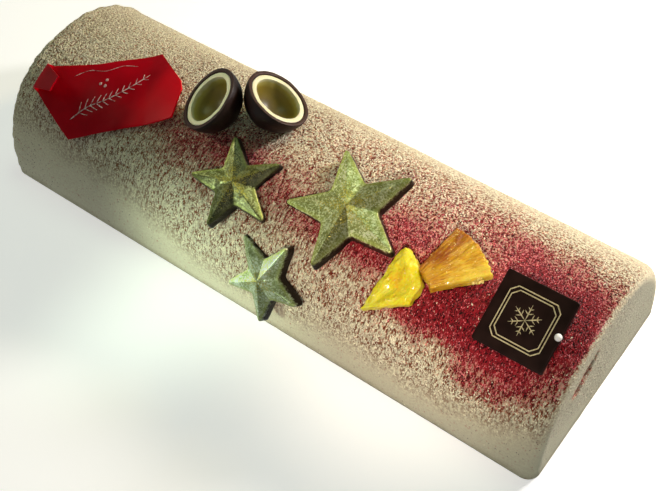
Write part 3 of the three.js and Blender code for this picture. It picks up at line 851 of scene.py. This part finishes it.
def buildGlitter():
    # gold leaf crumbs: tiny bright metal flakes
    material = cloudyMaterial("goldLeafCrumbs", {"Metallic": 1.0, "Roughness": 0.32}, 0.0012, 2.0,
                              [(0.35, "#c8b030"), (0.65, "#f0e488")])
    tree, add, given = startTree("goldGlitter", {"Density": 1.0, "Size": 1.0, "Seed": 1, "Finish": material})
    spread = spreadPoints(add, given)
    flake = add("MeshCylinder", {"Vertices": 6, "Radius": 0.5, "Depth": 0.12})
    tilt = add("RandomValue FLOAT_VECTOR", {0: (-0.5, -0.5, 0.0), 1: (0.5, 0.5, 3.0), "Seed": given["Seed"]})
    turn = add("RotateRotation", {"Rotation": spread["Rotation"], "Rotate By": tilt}, rotation_space="LOCAL")
    chance = add("RandomValue FLOAT", {2: 0.45, 3: 1.0, "Seed": given["Seed"]})
    size = add("Math MULTIPLY", [chance, given["Size"]])
    endTree(tree, add, given, add("InstanceOnPoints", {
        "Points": spread["Points"], "Instance": flake, "Rotation": turn, "Scale": size}))
    sources = [starPieces[name] for name in glitter["stars"]]
    shares = [smoothStep(0.95, 0.0, readShare(s, "fromHeart")) for s in sources]
    return scatterOver("gold_glitter", sources, shares, glitter["count"], tree, {
        "Size": glitter["size"] * mm, "Seed": glitter["seed"], "Finish": material})


goldGlitter = buildGlitter()
print("gold glitter:", len(goldGlitter.data.polygons), "faces")


# coconut halves

halfShells = {
    "radius": 13.3, "wall": 1.5, "lining": 1.9, "liningDrop": 0.35, "columns": 112, "outerRows": 34,
    "innerRows": 30, "lip": 0.28, "lipRows": 7,
    "left": {"centre": (-39.2, -7.2, 61.9), "opening": (-0.456, -0.392, 0.799), "seed": 21},
    "right": {"centre": (-17.0, 8.2, 61.4), "opening": (0.445, 0.419, 0.791), "seed": 34},
}


def unitCircle(columns):
    around = np.arange(columns) * 2 * math.pi / columns
    return np.stack([np.cos(around), np.sin(around)], 1)


# a bowl open towards +Z with softened lips; depth runs from 0 at the lip to 1 at the bottom inside
def bowlPoints(outer, inner, top, seed, wobble):
    lip, columns = halfShells["lip"], halfShells["columns"]
    middle, half = (outer + inner) / 2, (outer - inner) / 2
    profile = []  # reach, height, depth
    for t in np.linspace(0, 1, halfShells["outerRows"])[1:]:
        angle = t * (math.acos(-top / outer) - lip / outer)
        profile.append((outer * math.sin(angle), -outer * math.cos(angle), -1.0))
    for angle in np.linspace(0, math.pi, halfShells["lipRows"] + 2)[1:-1]:
        flatTop = np.sign(math.cos(angle)) * abs(math.cos(angle)) ** 0.45
        profile.append((middle + half * flatTop, top - lip + lip * math.sin(angle) ** 0.6, 0.0))
    for t in np.linspace(1, 0, halfShells["innerRows"])[:-1]:
        angle = t * (math.acos(-top / inner) - lip / inner)
        profile.append((inner * math.sin(angle), -inner * math.cos(angle), 1 - t))
    circle = unitCircle(columns)
    unevenRim = np.array([noiseAt(2.2 * a, 2.2 * b, seed) for a, b in circle])
    rows = [ring(circle * reach, z + unevenRim * wobble * smoothStep(-4, 0, z)) for reach, z, _ in profile]
    depth = np.repeat([p[2] for p in profile], columns)
    return *closedRings(rows, -outer, -inner, flip=True), np.concatenate([[-1], depth, [1]])


def buildShellMaterial():
    # tempered dark chocolate cast in a half-sphere mould: near black brown, satin, faint release marks
    material, add = startMaterial("castDarkChocolate")
    place = add("TexCoord").outputs["Object"]
    cloud = add("TexNoise", {"Vector": place, "Scale": 1 / 0.005, "Detail": 4.0})
    brown = add("ValToRGB", [cloud], [(0.3, "#180b0a"), (0.7, "#2c1814")])
    depth = add("Attribute", attribute_name="depth").outputs["Fac"]
    colour = add("Mix RGBA", {0: add("MapRange", [depth, -0.2, 0.0]), 6: brown, 7: "#3c241e"})
    grain = add("TexNoise", {"Vector": place, "Scale": 1 / 0.0009, "Detail": 3.0})
    return endMaterial(material, {"Base Color": colour, "Roughness": 0.45, "Specular IOR Level": 0.3,
                                  "IOR": 1.46}, (0.35, 0.0003, grain))


def buildLiningMaterial():
    # white chocolate lining: ivory and waxy on the lip, the bowl brushed with an olive pistachio glaze, growing
    # darker towards the bottom as painted shade
    material, add = startMaterial("whiteChocolateLining")
    depth = add("Attribute", attribute_name="depth").outputs["Fac"]
    cloud = add("TexNoise", {"Vector": add("TexCoord").outputs["Object"], "Scale": 1 / 0.004, "Detail": 3.0})
    tone = add("ValToRGB", [add("Math MULTIPLY_ADD", [cloud, 0.12, depth])], [
        (0.0, "#ece6c6"), (0.09, "#e7e2b8"), (0.17, "#bcb05c"), (0.3, "#8c7a2c"), (0.75, "#56480e")])
    return endMaterial(material, {
        "Base Color": tone, "Roughness": 0.42, "Specular IOR Level": 0.5, "Subsurface Weight": 0.15,
        "Subsurface Radius": (0.0012, 0.0008, 0.0004), "Subsurface Scale": 1.0}, (0.25, 0.0004, cloud))


shellOuter = halfShells["radius"]
liningOuter = shellOuter - halfShells["wall"] - clearance
# outer and inner radius, height of the lip, roughness and finish
halfKinds = {
    "shell": (shellOuter, shellOuter - halfShells["wall"], 0.0, 0.16, buildShellMaterial()),
    "lining": (liningOuter, liningOuter - halfShells["lining"], -halfShells["liningDrop"], 0.1,
               buildLiningMaterial()),
}
shellPieces = {}
for side in ("left", "right"):
    shell = halfShells[side]
    for kind, (outer, inner, top, rough, material) in halfKinds.items():
        points, faces, depth = bowlPoints(outer, inner, top, shell["seed"], rough)
        piece = newPiece(f"{kind}_{side}_cast", placed(points, shell["centre"], shell["opening"], (0, 1, 0)),
                         faces, material)
        tidyMesh(piece)
        setAttribute(piece, "depth", depth)
        roughen(piece, rough, 3.2, shell["seed"] + 2)
        if kind == "shell":
            liftOff(piece, (0, -0.1, 1))
        shellPieces[f"{kind}_{side}"] = piece
print("coconut halves done")


# chocolate tile, its gold line work and the pearl

tile = {"side": 26.7, "thickness": 2.2, "corner": 0.7, "edge": 0.28, "centre": (106.4, -18.5, 48.75),
        "face": (-0.022, -0.468, 0.883), "up": (-0.015, 0.883, 0.468), "steps": 40, "rings": 14,
        "lineWidth": 0.42, "lineHeight": 0.07, "border": (9.4, 8.3), "clip": 2.2,
        "arm": 5.7, "twigs": ((2.2, 1.9), (3.9, 1.25)),  # each pair of twigs: where along the arm, how long
        "pearlRadius": 1.32, "pearlAt": (12.6, 0.1), "pearlSink": 0.35, "pearlColumns": 40, "pearlRows": 24}


def toTile(points):
    return placed(points, tile["centre"], tile["face"], tile["up"])


def buildTile():
    # thin dark chocolate sheet, set on film: flat, nearly black, satin gloss with faint bloom
    material = cloudyMaterial("filmSetChocolate", {"Specular IOR Level": 0.25, "IOR": 1.46}, 0.006, 5.0,
                              [(0.3, "#160805"), (0.75, "#26120d")], (0.15, 0.0003), (0.26, 0.46))
    half, edge, corner, rings = tile["side"] / 2, tile["edge"], tile["corner"], tile["rings"]
    sides = [-half + tile["side"] * s / tile["steps"] for s in range(tile["steps"])]
    rim = np.array([[(a, -half), (half, a), (-a, half), (-half, -a)][k] for k in range(4) for a in sides])
    # soften the square's corners
    over = np.maximum(np.abs(rim) - (half - corner), 0)
    size = np.hypot(*over.T)
    both = (over.min(1) > 0) | (size > corner)
    base = np.sign(rim) * np.minimum(np.abs(rim), half - corner)
    rim[both] = base[both] + np.sign(rim[both]) * over[both] / size[both, None] * corner
    low = tile["thickness"] - edge
    levels = [(k / rings, 0.0) for k in range(1, rings)]
    levels += [(1 - edge / half * (1 - math.sin(a)), -edge * (1 - math.cos(a)))
               for a in np.linspace(0, math.pi / 2, 5)]
    levels += [(1.0, -edge - (low - edge) * k / 4) for k in range(1, 5)]
    levels += [(1 - edge / half * (1 - math.cos(a)), -low - edge * math.sin(a))
               for a in np.linspace(0, math.pi / 2, 4)[1:]]
    levels += [(1 - k / rings, -tile["thickness"]) for k in range(1, rings)]
    points, faces = closedRings([ring(rim * share, z) for share, z in levels], 0, -tile["thickness"])
    piece = tidyMesh(newPiece("chocolate_tile_sheet", toTile(points), faces, material))
    return liftOff(roughen(piece, 0.05, 7.0, 4), tile["face"])


def buildTileLines():
    # cocoa butter transfer in dull gold, a hair's breadth proud of the sheet
    material = cloudyMaterial("goldTransfer", {"Roughness": 0.5, "Metallic": 0.25}, 0.0007, 3.0,
                              [(0.3, "#b3a478"), (0.7, "#e2d6ae")])
    paths = []
    for reach in tile["border"]:
        short = reach - tile["clip"]
        corners = [(short, reach), (-short, reach), (-reach, short), (-reach, -short), (-short, -reach),
                   (short, -reach), (reach, -short), (reach, short), (short, reach)]
        paths.append((straightLine(corners), False))
    # a six-armed snowflake with paired twigs
    for k in range(6):
        angle = math.pi / 6 + k * math.pi / 3
        along = np.array([math.cos(angle), math.sin(angle)])
        paths.append((np.outer(np.linspace(0, tile["arm"], 9), along), True))
        for start, size in tile["twigs"]:
            for twig in (angle - math.pi / 3.2, angle + math.pi / 3.2):
                end = along * start + size * np.array([math.cos(twig), math.sin(twig)])
                paths.append((np.linspace(along * start, end, 6), True))
    parts = [pipedLine(path, tile["lineWidth"], tile["lineHeight"], toTile, lift=0.03, taper=taper)
             for path, taper in paths]
    return joinParts("tile_gold_lines", parts, material)


def buildPearl():
    # sugar pearl: a polished white dragee with a soft wax gloss
    material = cloudyMaterial("polishedSugar", {
        "Roughness": 0.28, "Specular IOR Level": 0.5, "IOR": 1.5, "Subsurface Weight": 0.1,
        "Subsurface Radius": (0.0006, 0.0006, 0.0005), "Subsurface Scale": 1.0, "Coat Weight": 0.3},
        0.0006, 2.0, [(0.3, "#fbf9f4"), (0.7, "#ffffff")], (0.2, 0.0001))
    radius, circle = tile["pearlRadius"], unitCircle(tile["pearlColumns"])
    points, faces = closedRings([ring(circle * (radius * math.sin(a)), radius * math.cos(a))
                                 for a in np.linspace(0, math.pi, tile["pearlRows"] + 2)[1:-1]], radius, -radius)
    points[:, 2] = np.maximum(points[:, 2], -radius + tile["pearlSink"] + clearance)
    points = points + np.array([*tile["pearlAt"], radius - tile["pearlSink"]])
    piece = newPiece("sugar_pearl_polished", toTile(points), faces, material)
    return roughen(tidyMesh(piece), 0.04, 1.4, 6)


tileSheet = buildTile()
tileLines = buildTileLines()
pearl = buildPearl()
print("tile and pearl done")


# candied pineapple

pineapple = {
    # candied pineapple: wet translucent yellow flesh with bright syrup glints
    "chunk": {"voxel": 0.34, "smooth": 5, "lump": 1.0, "fibre": 0.25, "seed": 41,
              "finish": "candiedPineappleYellow", "fibreWidth": 0.00045,
              "tones": [(0.25, "#ffa800"), (0.4, "#ffcc04"), (0.56, "#ffe816"), (0.76, "#fff478")]},
    # drier slice of the ring: amber fibres running out from the core, paler at the frayed edge
    "wedge": {"voxel": 0.34, "smooth": 4, "lump": 0.4, "fibre": 0.5, "seed": 52,
              "finish": "candiedPineappleAmber", "fibreWidth": 0.0005,
              "tones": [(0.28, "#a05004"), (0.4, "#bc7a06"), (0.52, "#d6a010"), (0.68, "#eecb40")]},
    # where the wedge lies, its face, the middle of its ring and the radius along which the fibres are laid
    "centre": (76.8, -9.5, 53.0), "face": (0, -0.139, 0.99), "heart": (-11.8, -26.8, 0), "fibreRadius": 24,
    "crumbs": {"count": 26, "size": 0.85, "at": (9.4, -5.6, -0.9), "spread": (0.75, 1.0, 0.5), "seed": 5},
    "lift": (0, -0.3, 0.95),
}
wedgeAxes = turnTo(pineapple["face"], (0, 1, 0))


def remeshed(name, node, settings, material):
    piece = newPiece(name)
    piece.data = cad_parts[node].data.copy()
    setMaterial(piece, material)
    tidyMesh(piece, 2e-6)
    remesh = piece.modifiers.new("even", "REMESH")
    remesh.mode = "VOXEL"
    remesh.voxel_size = settings["voxel"] * mm
    piece.modifiers.new("soften", "SMOOTH").iterations = settings["smooth"]
    bakeModifiers(piece)
    piece.data.shade_smooth()
    return piece


# each point as (along the fibres, across them, through the slice) in millimetres, and how pale it is
def wedgeFibres(points):
    local = (points - np.array(pineapple["centre"])) @ wedgeAxes - np.array(pineapple["heart"])
    turn = np.arctan2(local[:, 1], local[:, 0])
    reach, degrees = np.hypot(local[:, 0], local[:, 1]), np.degrees(turn)
    pale = smoothStep(62, 46, degrees) * smoothStep(16, 34, reach) - 0.5 * smoothStep(66, 78, degrees)
    return np.stack([reach, turn * pineapple["fibreRadius"], local[:, 2]], 1), np.clip(pale, -1, 1)


def chunkFibres(points):
    # fibres lie from the low left tip to the high right side
    low, high = np.array([53.5, -40.0, 38.0]), np.array([64.0, -18.0, 50.0])
    along = unit(high - low)
    offset = points - low
    across = offset @ unit(np.cross(along, (0, -0.533, 0.846)))
    through = offset @ np.cross(along, unit(np.cross(along, (0, -0.5, 0.8))))
    # painted shade: darker in a hollow in the middle
    hollowShade = np.exp(-(((points[:, 0] - 62.0) / 4.5) ** 2 + ((points[:, 1] + 28.0) / 4.0) ** 2))
    return np.stack([offset @ along, across, through], 1), 0.25 - 0.4 * hollowShade


def buildFruitMaterial(kind):
    material, add = startMaterial(kind["finish"])
    place = add("TexCoord").outputs["Object"]
    fibrePlace = add("Attribute", attribute_name="fibrePlace").outputs["Vector"]
    pale = add("Attribute", attribute_name="pale").outputs["Fac"]
    # fibres about half a millimetre apart, nine times as long
    fine = 1 / kind["fibreWidth"]
    stretched = add("VectorMath MULTIPLY", [fibrePlace, (1 / (kind["fibreWidth"] * 9), fine, fine)])
    fibres = add("TexNoise", {"Vector": stretched, "Scale": 1.0, "Detail": 3.0, "Roughness": 0.6})
    cloud = add("TexNoise", {"Vector": place, "Scale": 1 / 0.005, "Detail": 3.0})
    blend = add("Mix", {0: 0.5, 2: fibres, 3: cloud})
    tone = add("ValToRGB", [add("Math MULTIPLY_ADD", [pale, 0.3, blend])], kind["tones"])
    cells = add("TexNoise", {"Vector": place, "Scale": 1 / 0.001, "Detail": 3.0})
    height = add("Math MULTIPLY_ADD", [cells, 1.1, fibres])
    return endMaterial(material, {
        "Base Color": tone, "Roughness": 0.3, "Specular IOR Level": 0.5, "IOR": 1.45,
        "Subsurface Weight": 0.45, "Subsurface Radius": (0.0038, 0.0021, 0.0004), "Subsurface Scale": 1.0,
        "Coat Weight": 0.5, "Coat Roughness": 0.1}, (0.7, 0.0008, height))


def buildFruit(name, readFibres):
    kind = pineapple[name]
    piece = remeshed(f"pineapple_{name}_candied", f"pineapple_{name}", kind, buildFruitMaterial(kind))
    points = readPoints(piece)
    where, pale = readFibres(points / mm)
    setAttribute(piece, "fibrePlace", where * mm)
    setAttribute(piece, "pale", pale)
    strands = np.array([noiseAt(a / 7, b / 0.9, c / 2.0 + kind["seed"]) for a, b, c in where])
    # rounded lobes with creases between, like the eyes of the fruit
    lumps = np.array([0.45 - noise.voronoi(Vector(p / (4.2 * mm) + kind["seed"]))[0][0] for p in points])
    amount = strands * kind["fibre"] + lumps * kind["lump"]
    writePoints(piece, points + readNormals(piece) * (amount * mm)[:, None])
    return liftOff(piece, pineapple["lift"])


def buildCrumbs():
    # loose crumbs of the frayed edge, same fruit
    material = cloudyMaterial("candiedPineappleCrumb", {
        "Roughness": 0.4, "Subsurface Weight": 0.3, "Subsurface Radius": (0.002, 0.0015, 0.0006),
        "Subsurface Scale": 1.0}, 0.0012, 3.0, [(0.3, "#e0b040"), (0.65, "#f4e08c")], (0.5, 0.0003))
    crumbs = pineapple["crumbs"]
    chance = np.random.default_rng(crumbs["seed"])
    made = bmesh.new()
    bmesh.ops.create_icosphere(made, subdivisions=2, radius=1)
    ball = np.array([v.co for v in made.verts])
    faces = [tuple(v.index for v in f.verts) for f in made.faces]
    made.free()
    parts = []
    for _ in range(crumbs["count"]):
        size = crumbs["size"] * chance.uniform(0.35, 0.8, 3)
        shift = chance.normal(0, 1, 3)
        rough = np.array([1 + 0.45 * noiseAt(*(p * 1.3 + shift * 5)) for p in ball])
        local = ball * rough[:, None] * size + np.array(crumbs["at"]) + shift * crumbs["spread"]
        parts.append(((local @ wedgeAxes.T + np.array(pineapple["centre"])) * mm, faces))
    return liftOff(joinParts("pineapple_crumbs", parts, material), pineapple["lift"])


# syrup has dried to bright sugar crystals over the fruit
sugarCrystals = {"count": 420, "width": 0.34, "length": 0.44, "height": 0.24, "patch": 3.4, "seed": 17}


def buildCrystals():
    # dried syrup: clear yellow sugar with a hard gloss
    material = endMaterial(startMaterial("driedSyrupSugar")[0], {
        "Base Color": "#ffeb94", "Roughness": 0.22, "Specular IOR Level": 0.6, "IOR": 1.5})
    sources = list(pineapplePieces.values())
    shares = [np.array([max(0.0, noiseAt(*(p / (sugarCrystals["patch"] * mm))) + 0.1) for p in readPoints(s)])
              for s in sources]
    piece = scatterOver("sugar_crystals", sources, shares, sugarCrystals["count"], grainTree, {
        **grainSizes(sugarCrystals), "Smallest": 0.4, "Seed": sugarCrystals["seed"], "Finish": material})
    return liftOff(piece, pineapple["lift"])


pineapplePieces = {"chunk": buildFruit("chunk", chunkFibres), "wedge": buildFruit("wedge", wedgeFibres)}
pineappleCrumbs = buildCrumbs()
syrupCrystals = buildCrystals()
print("pineapple done")


# red plaque

plaque = {
    "thickness": 0.8, "centre": (-86.7, -16.4), "turn": 37.0, "clearance": 0.9,
    "top": [(-23.1, 13.8), (-4.3, 12), (21.2, 14.1), (30.9, -4.4)],
    "bottom": [(-30.0, 4.5), (-19.5, -16.7), (4.5, -18.5), (29, -20.7), (31.9, -9)],
    "rises": [(17, 1, 17.0), (12, -1, 8.0)],  # where the bend starts, its side, its angle
    "curlRadius": 1.7, "curlAngle": 158.0, "curlFlat": 10.5, "curlNarrowing": 0.55,
    "columns": 96, "rows": 40, "curlColumns": 34, "edge": 0.16,
}
sprig = {
    "stem": [(-17, -9.5), (-9, -6.5), (0, -5.2), (9, -2.0), (17.5, 3.2)], "stemWidth": 0.5,
    "leaf": 4.6, "leafWidth": 0.36,
    "wave": [(-14.5, 7.8), (-8, 9.4), (-1, 8.0), (6, 9.6), (12, 8.6)], "waveWidth": 0.3,
    "berries": [(-3, 2.4), (-0.4, 3.6), (-1.0, 1.0)], "berry": 0.375, "berryWidth": 0.7, "height": 0.12,
}


# maps (along, across, height above the sheet's middle) to millimetres
def plaqueSurface(points):
    points = np.asarray(points, float)
    along, across = points[:, 0], points[:, 1]
    turn = math.radians(plaque["turn"])
    x = plaque["centre"][0] + along * math.cos(turn) - across * math.sin(turn)
    run = plaque["centre"][1] + along * math.sin(turn) + across * math.cos(turn)
    rise = sum((along * side - start + np.hypot(along * side - start, 3.0)) / 2 * math.tan(math.radians(angle))
               for start, side, angle in plaque["rises"])
    height = points[:, 2] if points.shape[1] > 2 else 0.0
    return aboveLog(x, run, plaque["clearance"] + plaque["thickness"] / 2 + rise + height)


def onPath(path, share):
    path = np.asarray(path, float)
    lengths = np.concatenate([[0], np.cumsum(np.hypot(*np.diff(path, axis=0).T))])
    return np.stack([np.interp(share * lengths[-1], lengths, path[:, k]) for k in (0, 1)], -1)


def plaqueGrid():
    curl, radius = math.radians(plaque["curlAngle"]), plaque["curlRadius"]
    curlLength = radius * curl + plaque["curlFlat"]
    top, low = np.array(plaque["top"][0]), np.array(plaque["bottom"][0])
    shares = np.arange(plaque["rows"] + 1) / plaque["rows"]
    edge = (plaqueSurface([low]) - plaqueSurface([top]))[0]
    grid = []
    # the curled left end, from its free edge to the crease
    for c in range(plaque["curlColumns"], 0, -1):
        run = curlLength * c / plaque["curlColumns"]
        bend = min(run / radius, curl)
        flat = max(0, run - radius * curl)
        out = radius * math.sin(bend) + flat * math.cos(curl)
        up = radius * (1 - math.cos(bend)) + flat * math.sin(curl)
        narrow = 1 - (1 - plaque["curlNarrowing"]) * run / curlLength
        crease = top + np.outer(0.5 + (shares - 0.5) * narrow, low - top)
        base = plaqueSurface(crease)
        inward = unit(plaqueSurface(crease + np.array([1, -0.85])) - base)
        grid.append(base - inward * out + unit(np.cross(edge, inward)) * up)
    for c in range(plaque["columns"] + 1):
        upper, lower = (onPath(plaque[k], c / plaque["columns"]) for k in ("top", "bottom"))
        grid.append(plaqueSurface(upper + np.outer(shares, lower - upper)))
    return np.array(grid)


def buildPlaqueMaterial():
    # pulled red sugar sheet, thin and bent warm: deep cherry red, glassy, slightly cloudy
    material, add = startMaterial("pulledRedSugar")
    place = add("TexCoord").outputs["Object"]
    cloud = add("TexNoise", {"Vector": place, "Scale": 1 / 0.012, "Detail": 5.0, "Roughness": 0.6})
    tone = add("ValToRGB", [cloud], [(0.3, "#a40012"), (0.7, "#bc0018")])
    # brighter towards both bent ends: painted light where they turn up towards the lamps, and thinner sugar
    # there
    x = add("SeparateXYZ", [place]).outputs["X"]
    rightEnd = add("MapRange SMOOTHSTEP", [x, -0.074, -0.064])
    leftEnd = add("MapRange SMOOTHSTEP", [x, -0.110, -0.116])
    thin = add("Math MULTIPLY_ADD", [leftEnd, 0.5, rightEnd])
    ripple = add("TexNoise", {"Vector": place, "Scale": 1 / 0.0035, "Detail": 3.0})
    return endMaterial(material, {
        "Base Color": add("Mix RGBA", {0: thin, 6: tone, 7: "#ee0a20"}),
        "Roughness": add("MapRange", [cloud, 0.0, 1.0, 0.24, 0.46]), "Specular IOR Level": 0.1, "IOR": 1.5,
        "Subsurface Weight": 0.15, "Subsurface Radius": (0.003, 0.0004, 0.0004), "Subsurface Scale": 1.0},
        (0.2, 0.0005, ripple))


def buildPlaque():
    grid = plaqueGrid()
    columns, rows = grid.shape[:2]
    normal = unit(np.cross(np.gradient(grid, axis=1), np.gradient(grid, axis=0)))
    half = plaque["thickness"] / 2
    points = np.concatenate([(grid + normal * half).reshape(-1, 3), (grid - normal * half).reshape(-1, 3)]) * mm
    low = columns * rows
    faces = []
    for a, b, c, d in ringFaces(columns, rows, closed=False):
        faces += [(a, b, c, d), (low + d, low + c, low + b, low + a)]
    border = [c * rows for c in range(columns - 1)] + [(columns - 1) * rows + r for r in range(rows - 1)]
    border += [c * rows + rows - 1 for c in range(columns - 1, 0, -1)] + list(range(rows - 1, 0, -1))
    faces += [(a, b, low + b, low + a) for a, b in zip(border, border[1:] + border[:1])]
    piece = tidyMesh(newPiece("red_plaque_sheet", points, faces, buildPlaqueMaterial()))
    bevel = piece.modifiers.new("softEdge", "BEVEL")
    bevel.width = plaque["edge"] * mm
    bevel.segments = 2
    bevel.limit_method = "ANGLE"
    bevel.angle_limit = math.radians(50)
    bakeModifiers(piece)
    piece.data.shade_smooth()
    return roughen(piece, 0.12, 6.0, 9)


def buildSprig():
    # royal icing brushed on thin: chalky white, half rubbed away
    material = cloudyMaterial("thinRoyalIcing", {"Roughness": 0.7}, 0.0012, 4.0,
                              [(0.38, "#a04850"), (0.6, "#e6ccc8")])
    stem = curve(sprig["stem"], 10)
    paths = [(stem, sprig["stemWidth"])]
    for k in range(6, len(stem) - 3, 3):
        ahead = unit(stem[k + 1] - stem[k - 1])
        size = sprig["leaf"] * (1 - 0.55 * k / len(stem))
        for side in (-1, 1):
            aside = np.array([-ahead[1], ahead[0]]) * side
            turned = ahead * 0.66 + aside * 0.75
            paths.append((curve([stem[k], stem[k] + turned * size * 0.55 + aside * 0.15,
                                 stem[k] + turned * size], 4), sprig["leafWidth"]))
    paths.append((curve(sprig["wave"], 8), sprig["waveWidth"]))
    for x, y in sprig["berries"]:
        paths.append((np.array([(x + sprig["berry"] * math.cos(a), y + sprig["berry"] * math.sin(a))
                                for a in np.linspace(0, 2 * math.pi, 9)]), sprig["berryWidth"]))
    lift = plaque["thickness"] / 2 + 0.02
    parts = [pipedLine(path, width, sprig["height"], lambda points: plaqueSurface(points) * mm, lift=lift,
                       taper=len(path) > 9) for path, width in paths]
    return joinParts("plaque_icing_sprig", parts, material)


redPlaque = buildPlaque()
icingSprig = buildSprig()
print("plaque done")


# what stands for what

standsFor = [
    (logSkin, "log_body", "ivory_velvet"),
    *[(starPieces[n], n, stars[n]["slot"]) for n in stars],
    (shellPieces["shell_left"], "shell_left", "dark_chocolate_left"),
    (shellPieces["shell_right"], "shell_right", "dark_chocolate_right"),
    (shellPieces["lining_left"], "lining_left", "ivory_lining_left"),
    (shellPieces["lining_right"], "lining_right", "ivory_lining_right"),
    (tileSheet, "chocolate_tile", "tile_chocolate"),
    (pearl, "sugar_pearl", "pearl_white"),
    (pineapplePieces["chunk"], "pineapple_chunk", "pineapple_yellow"),
    (pineapplePieces["wedge"], "pineapple_wedge", "pineapple_amber"),
    (redPlaque, "red_plaque", "plaque_red"),
]
for piece, node, slot in standsFor:
    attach(piece, "root")
    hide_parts(node)
for piece in [*grainPieces, goldGlitter, tileLines, pineappleCrumbs, syrupCrystals, icingSprig]:
    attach(piece, "root")


# floor, light and camera

setting = {
    "floorColour": "#f4f3f0", "floorGlow": 0.5, "skyTop": (0.03, 0.03, 0.02, 1), "skyLow": (0.47, 0.53, 0.53, 1),
    "lights": {
        # kind, place, aim, power in watts, colour, size or cone in metres or degrees
        "keyLight": ("AREA", (0.22, 0.305, 0.218), (0, 0, 0.03), 1.5, (1.0, 0.95, 0.98), 0.07),
        "highKeyLight": ("AREA", (0.15, 0.40, 0.30), (0, 0, 0.03), 1.0, (1.0, 0.74, 0.32), 0.10),
        "sideLight": ("SPOT", (0.20, -0.30, 0.30), (0.068, -0.031, 0.038), 5.6, (1.0, 0.86, 0.72), 21.5),
        "overheadLight": ("AREA", (-0.06, 0.14, 0.5), (0, 0, 0.04), 0.3, (0.7, 1.0, 0.7), 0.2),
        "leftLight": ("AREA", (-0.38, -0.10, 0.26), (0, 0, 0.04), 0.1, (1.0, 1.0, 0.75), 0.2),
        "shellLight": ("SPOT", (-0.34, -0.16, 0.30), (-0.038, -0.007, 0.066), 6.5, (1.0, 0.97, 0.76), 4.8),
        "patchLight": ("SPOT", (-0.10, -0.26, 0.10), (-0.016, -0.046, 0.013), 2.4, (0.81, 1.0, 0.79), 23.0),
    },
}
# angles in degrees, distance in metres, the rest in pixels
lens = {"azimuth": 42.40, "elevation": 51.42, "roll": -6.36, "distance": 0.46762, "focal": 1143.67,
        "frameWidth": 669, "offset": (-21.62, -12.48), "sensor": 36.0}


def buildFloor():
    # a pale laminate table top, matt, with a little glow so that its far parts stay pale
    floor = newPiece("floor", [(-3, -3, 0), (3, -3, 0), (3, 3, 0), (-3, 3, 0)], [(0, 1, 2, 3)], smooth=False)
    setMaterial(floor, endMaterial(startMaterial("paleTable")[0], {
        "Base Color": setting["floorColour"], "Roughness": 0.9, "Specular IOR Level": 0.1,
        "Emission Color": "#ffffff", "Emission Strength": setting["floorGlow"]}))
    floor.visible_diffuse = False
    floor.visible_glossy = False


def buildRoom():
    world = bpy.data.worlds.new("softRoom")
    world.use_nodes = True
    scene.world = world
    world.node_tree.nodes.clear()
    add = partial(addNode, world.node_tree)
    upward = add("SeparateXYZ", [add("TexCoord").outputs["Generated"]]).outputs["Z"]
    sky = add("Mix RGBA", {0: add("MapRange", [upward, -1.0]), 6: setting["skyLow"], 7: setting["skyTop"]})
    add("OutputWorld", {"Surface": add("Background", [sky])})


def buildLights():
    for name, (kind, at, target, power, colour, size) in setting["lights"].items():
        data = bpy.data.lights.new(name, kind)
        data.energy = power
        data.color = colour
        if kind == "AREA":
            data.shape = "DISK"
            data.size = size
        else:
            data.spot_size = math.radians(size)
            data.spot_blend = 1.0
            data.shadow_soft_size = 0.02
        lamp = bpy.data.objects.new(name, data)
        lamp.location = at
        lamp.rotation_euler = (Vector(target) - Vector(at)).to_track_quat("-Z", "Y").to_euler()
        lamp.visible_camera = False
        scene.collection.objects.link(lamp)


def buildCamera():
    turn, rise, roll = (math.radians(lens[k]) for k in ("azimuth", "elevation", "roll"))
    facing = Euler((math.pi / 2 - rise, 0, turn)).to_matrix() @ Matrix.Rotation(roll, 3, "Z")
    data = bpy.data.cameras.new("camera")
    data.sensor_width = lens["sensor"]
    data.lens = lens["sensor"] * lens["focal"] / lens["frameWidth"]
    data.shift_x = -lens["offset"][0] / lens["frameWidth"]
    data.shift_y = lens["offset"][1] / lens["frameWidth"]
    data.clip_start = 0.01
    camera = bpy.data.objects.new("camera", data)
    camera.matrix_world = Matrix.Translation(facing.col[2] * lens["distance"]) @ facing.to_4x4()
    scene.collection.objects.link(camera)
    scene.camera = camera


buildFloor()
buildRoom()
buildLights()
buildCamera()
scene.view_settings.view_transform = "Standard"
print("setting and camera done")
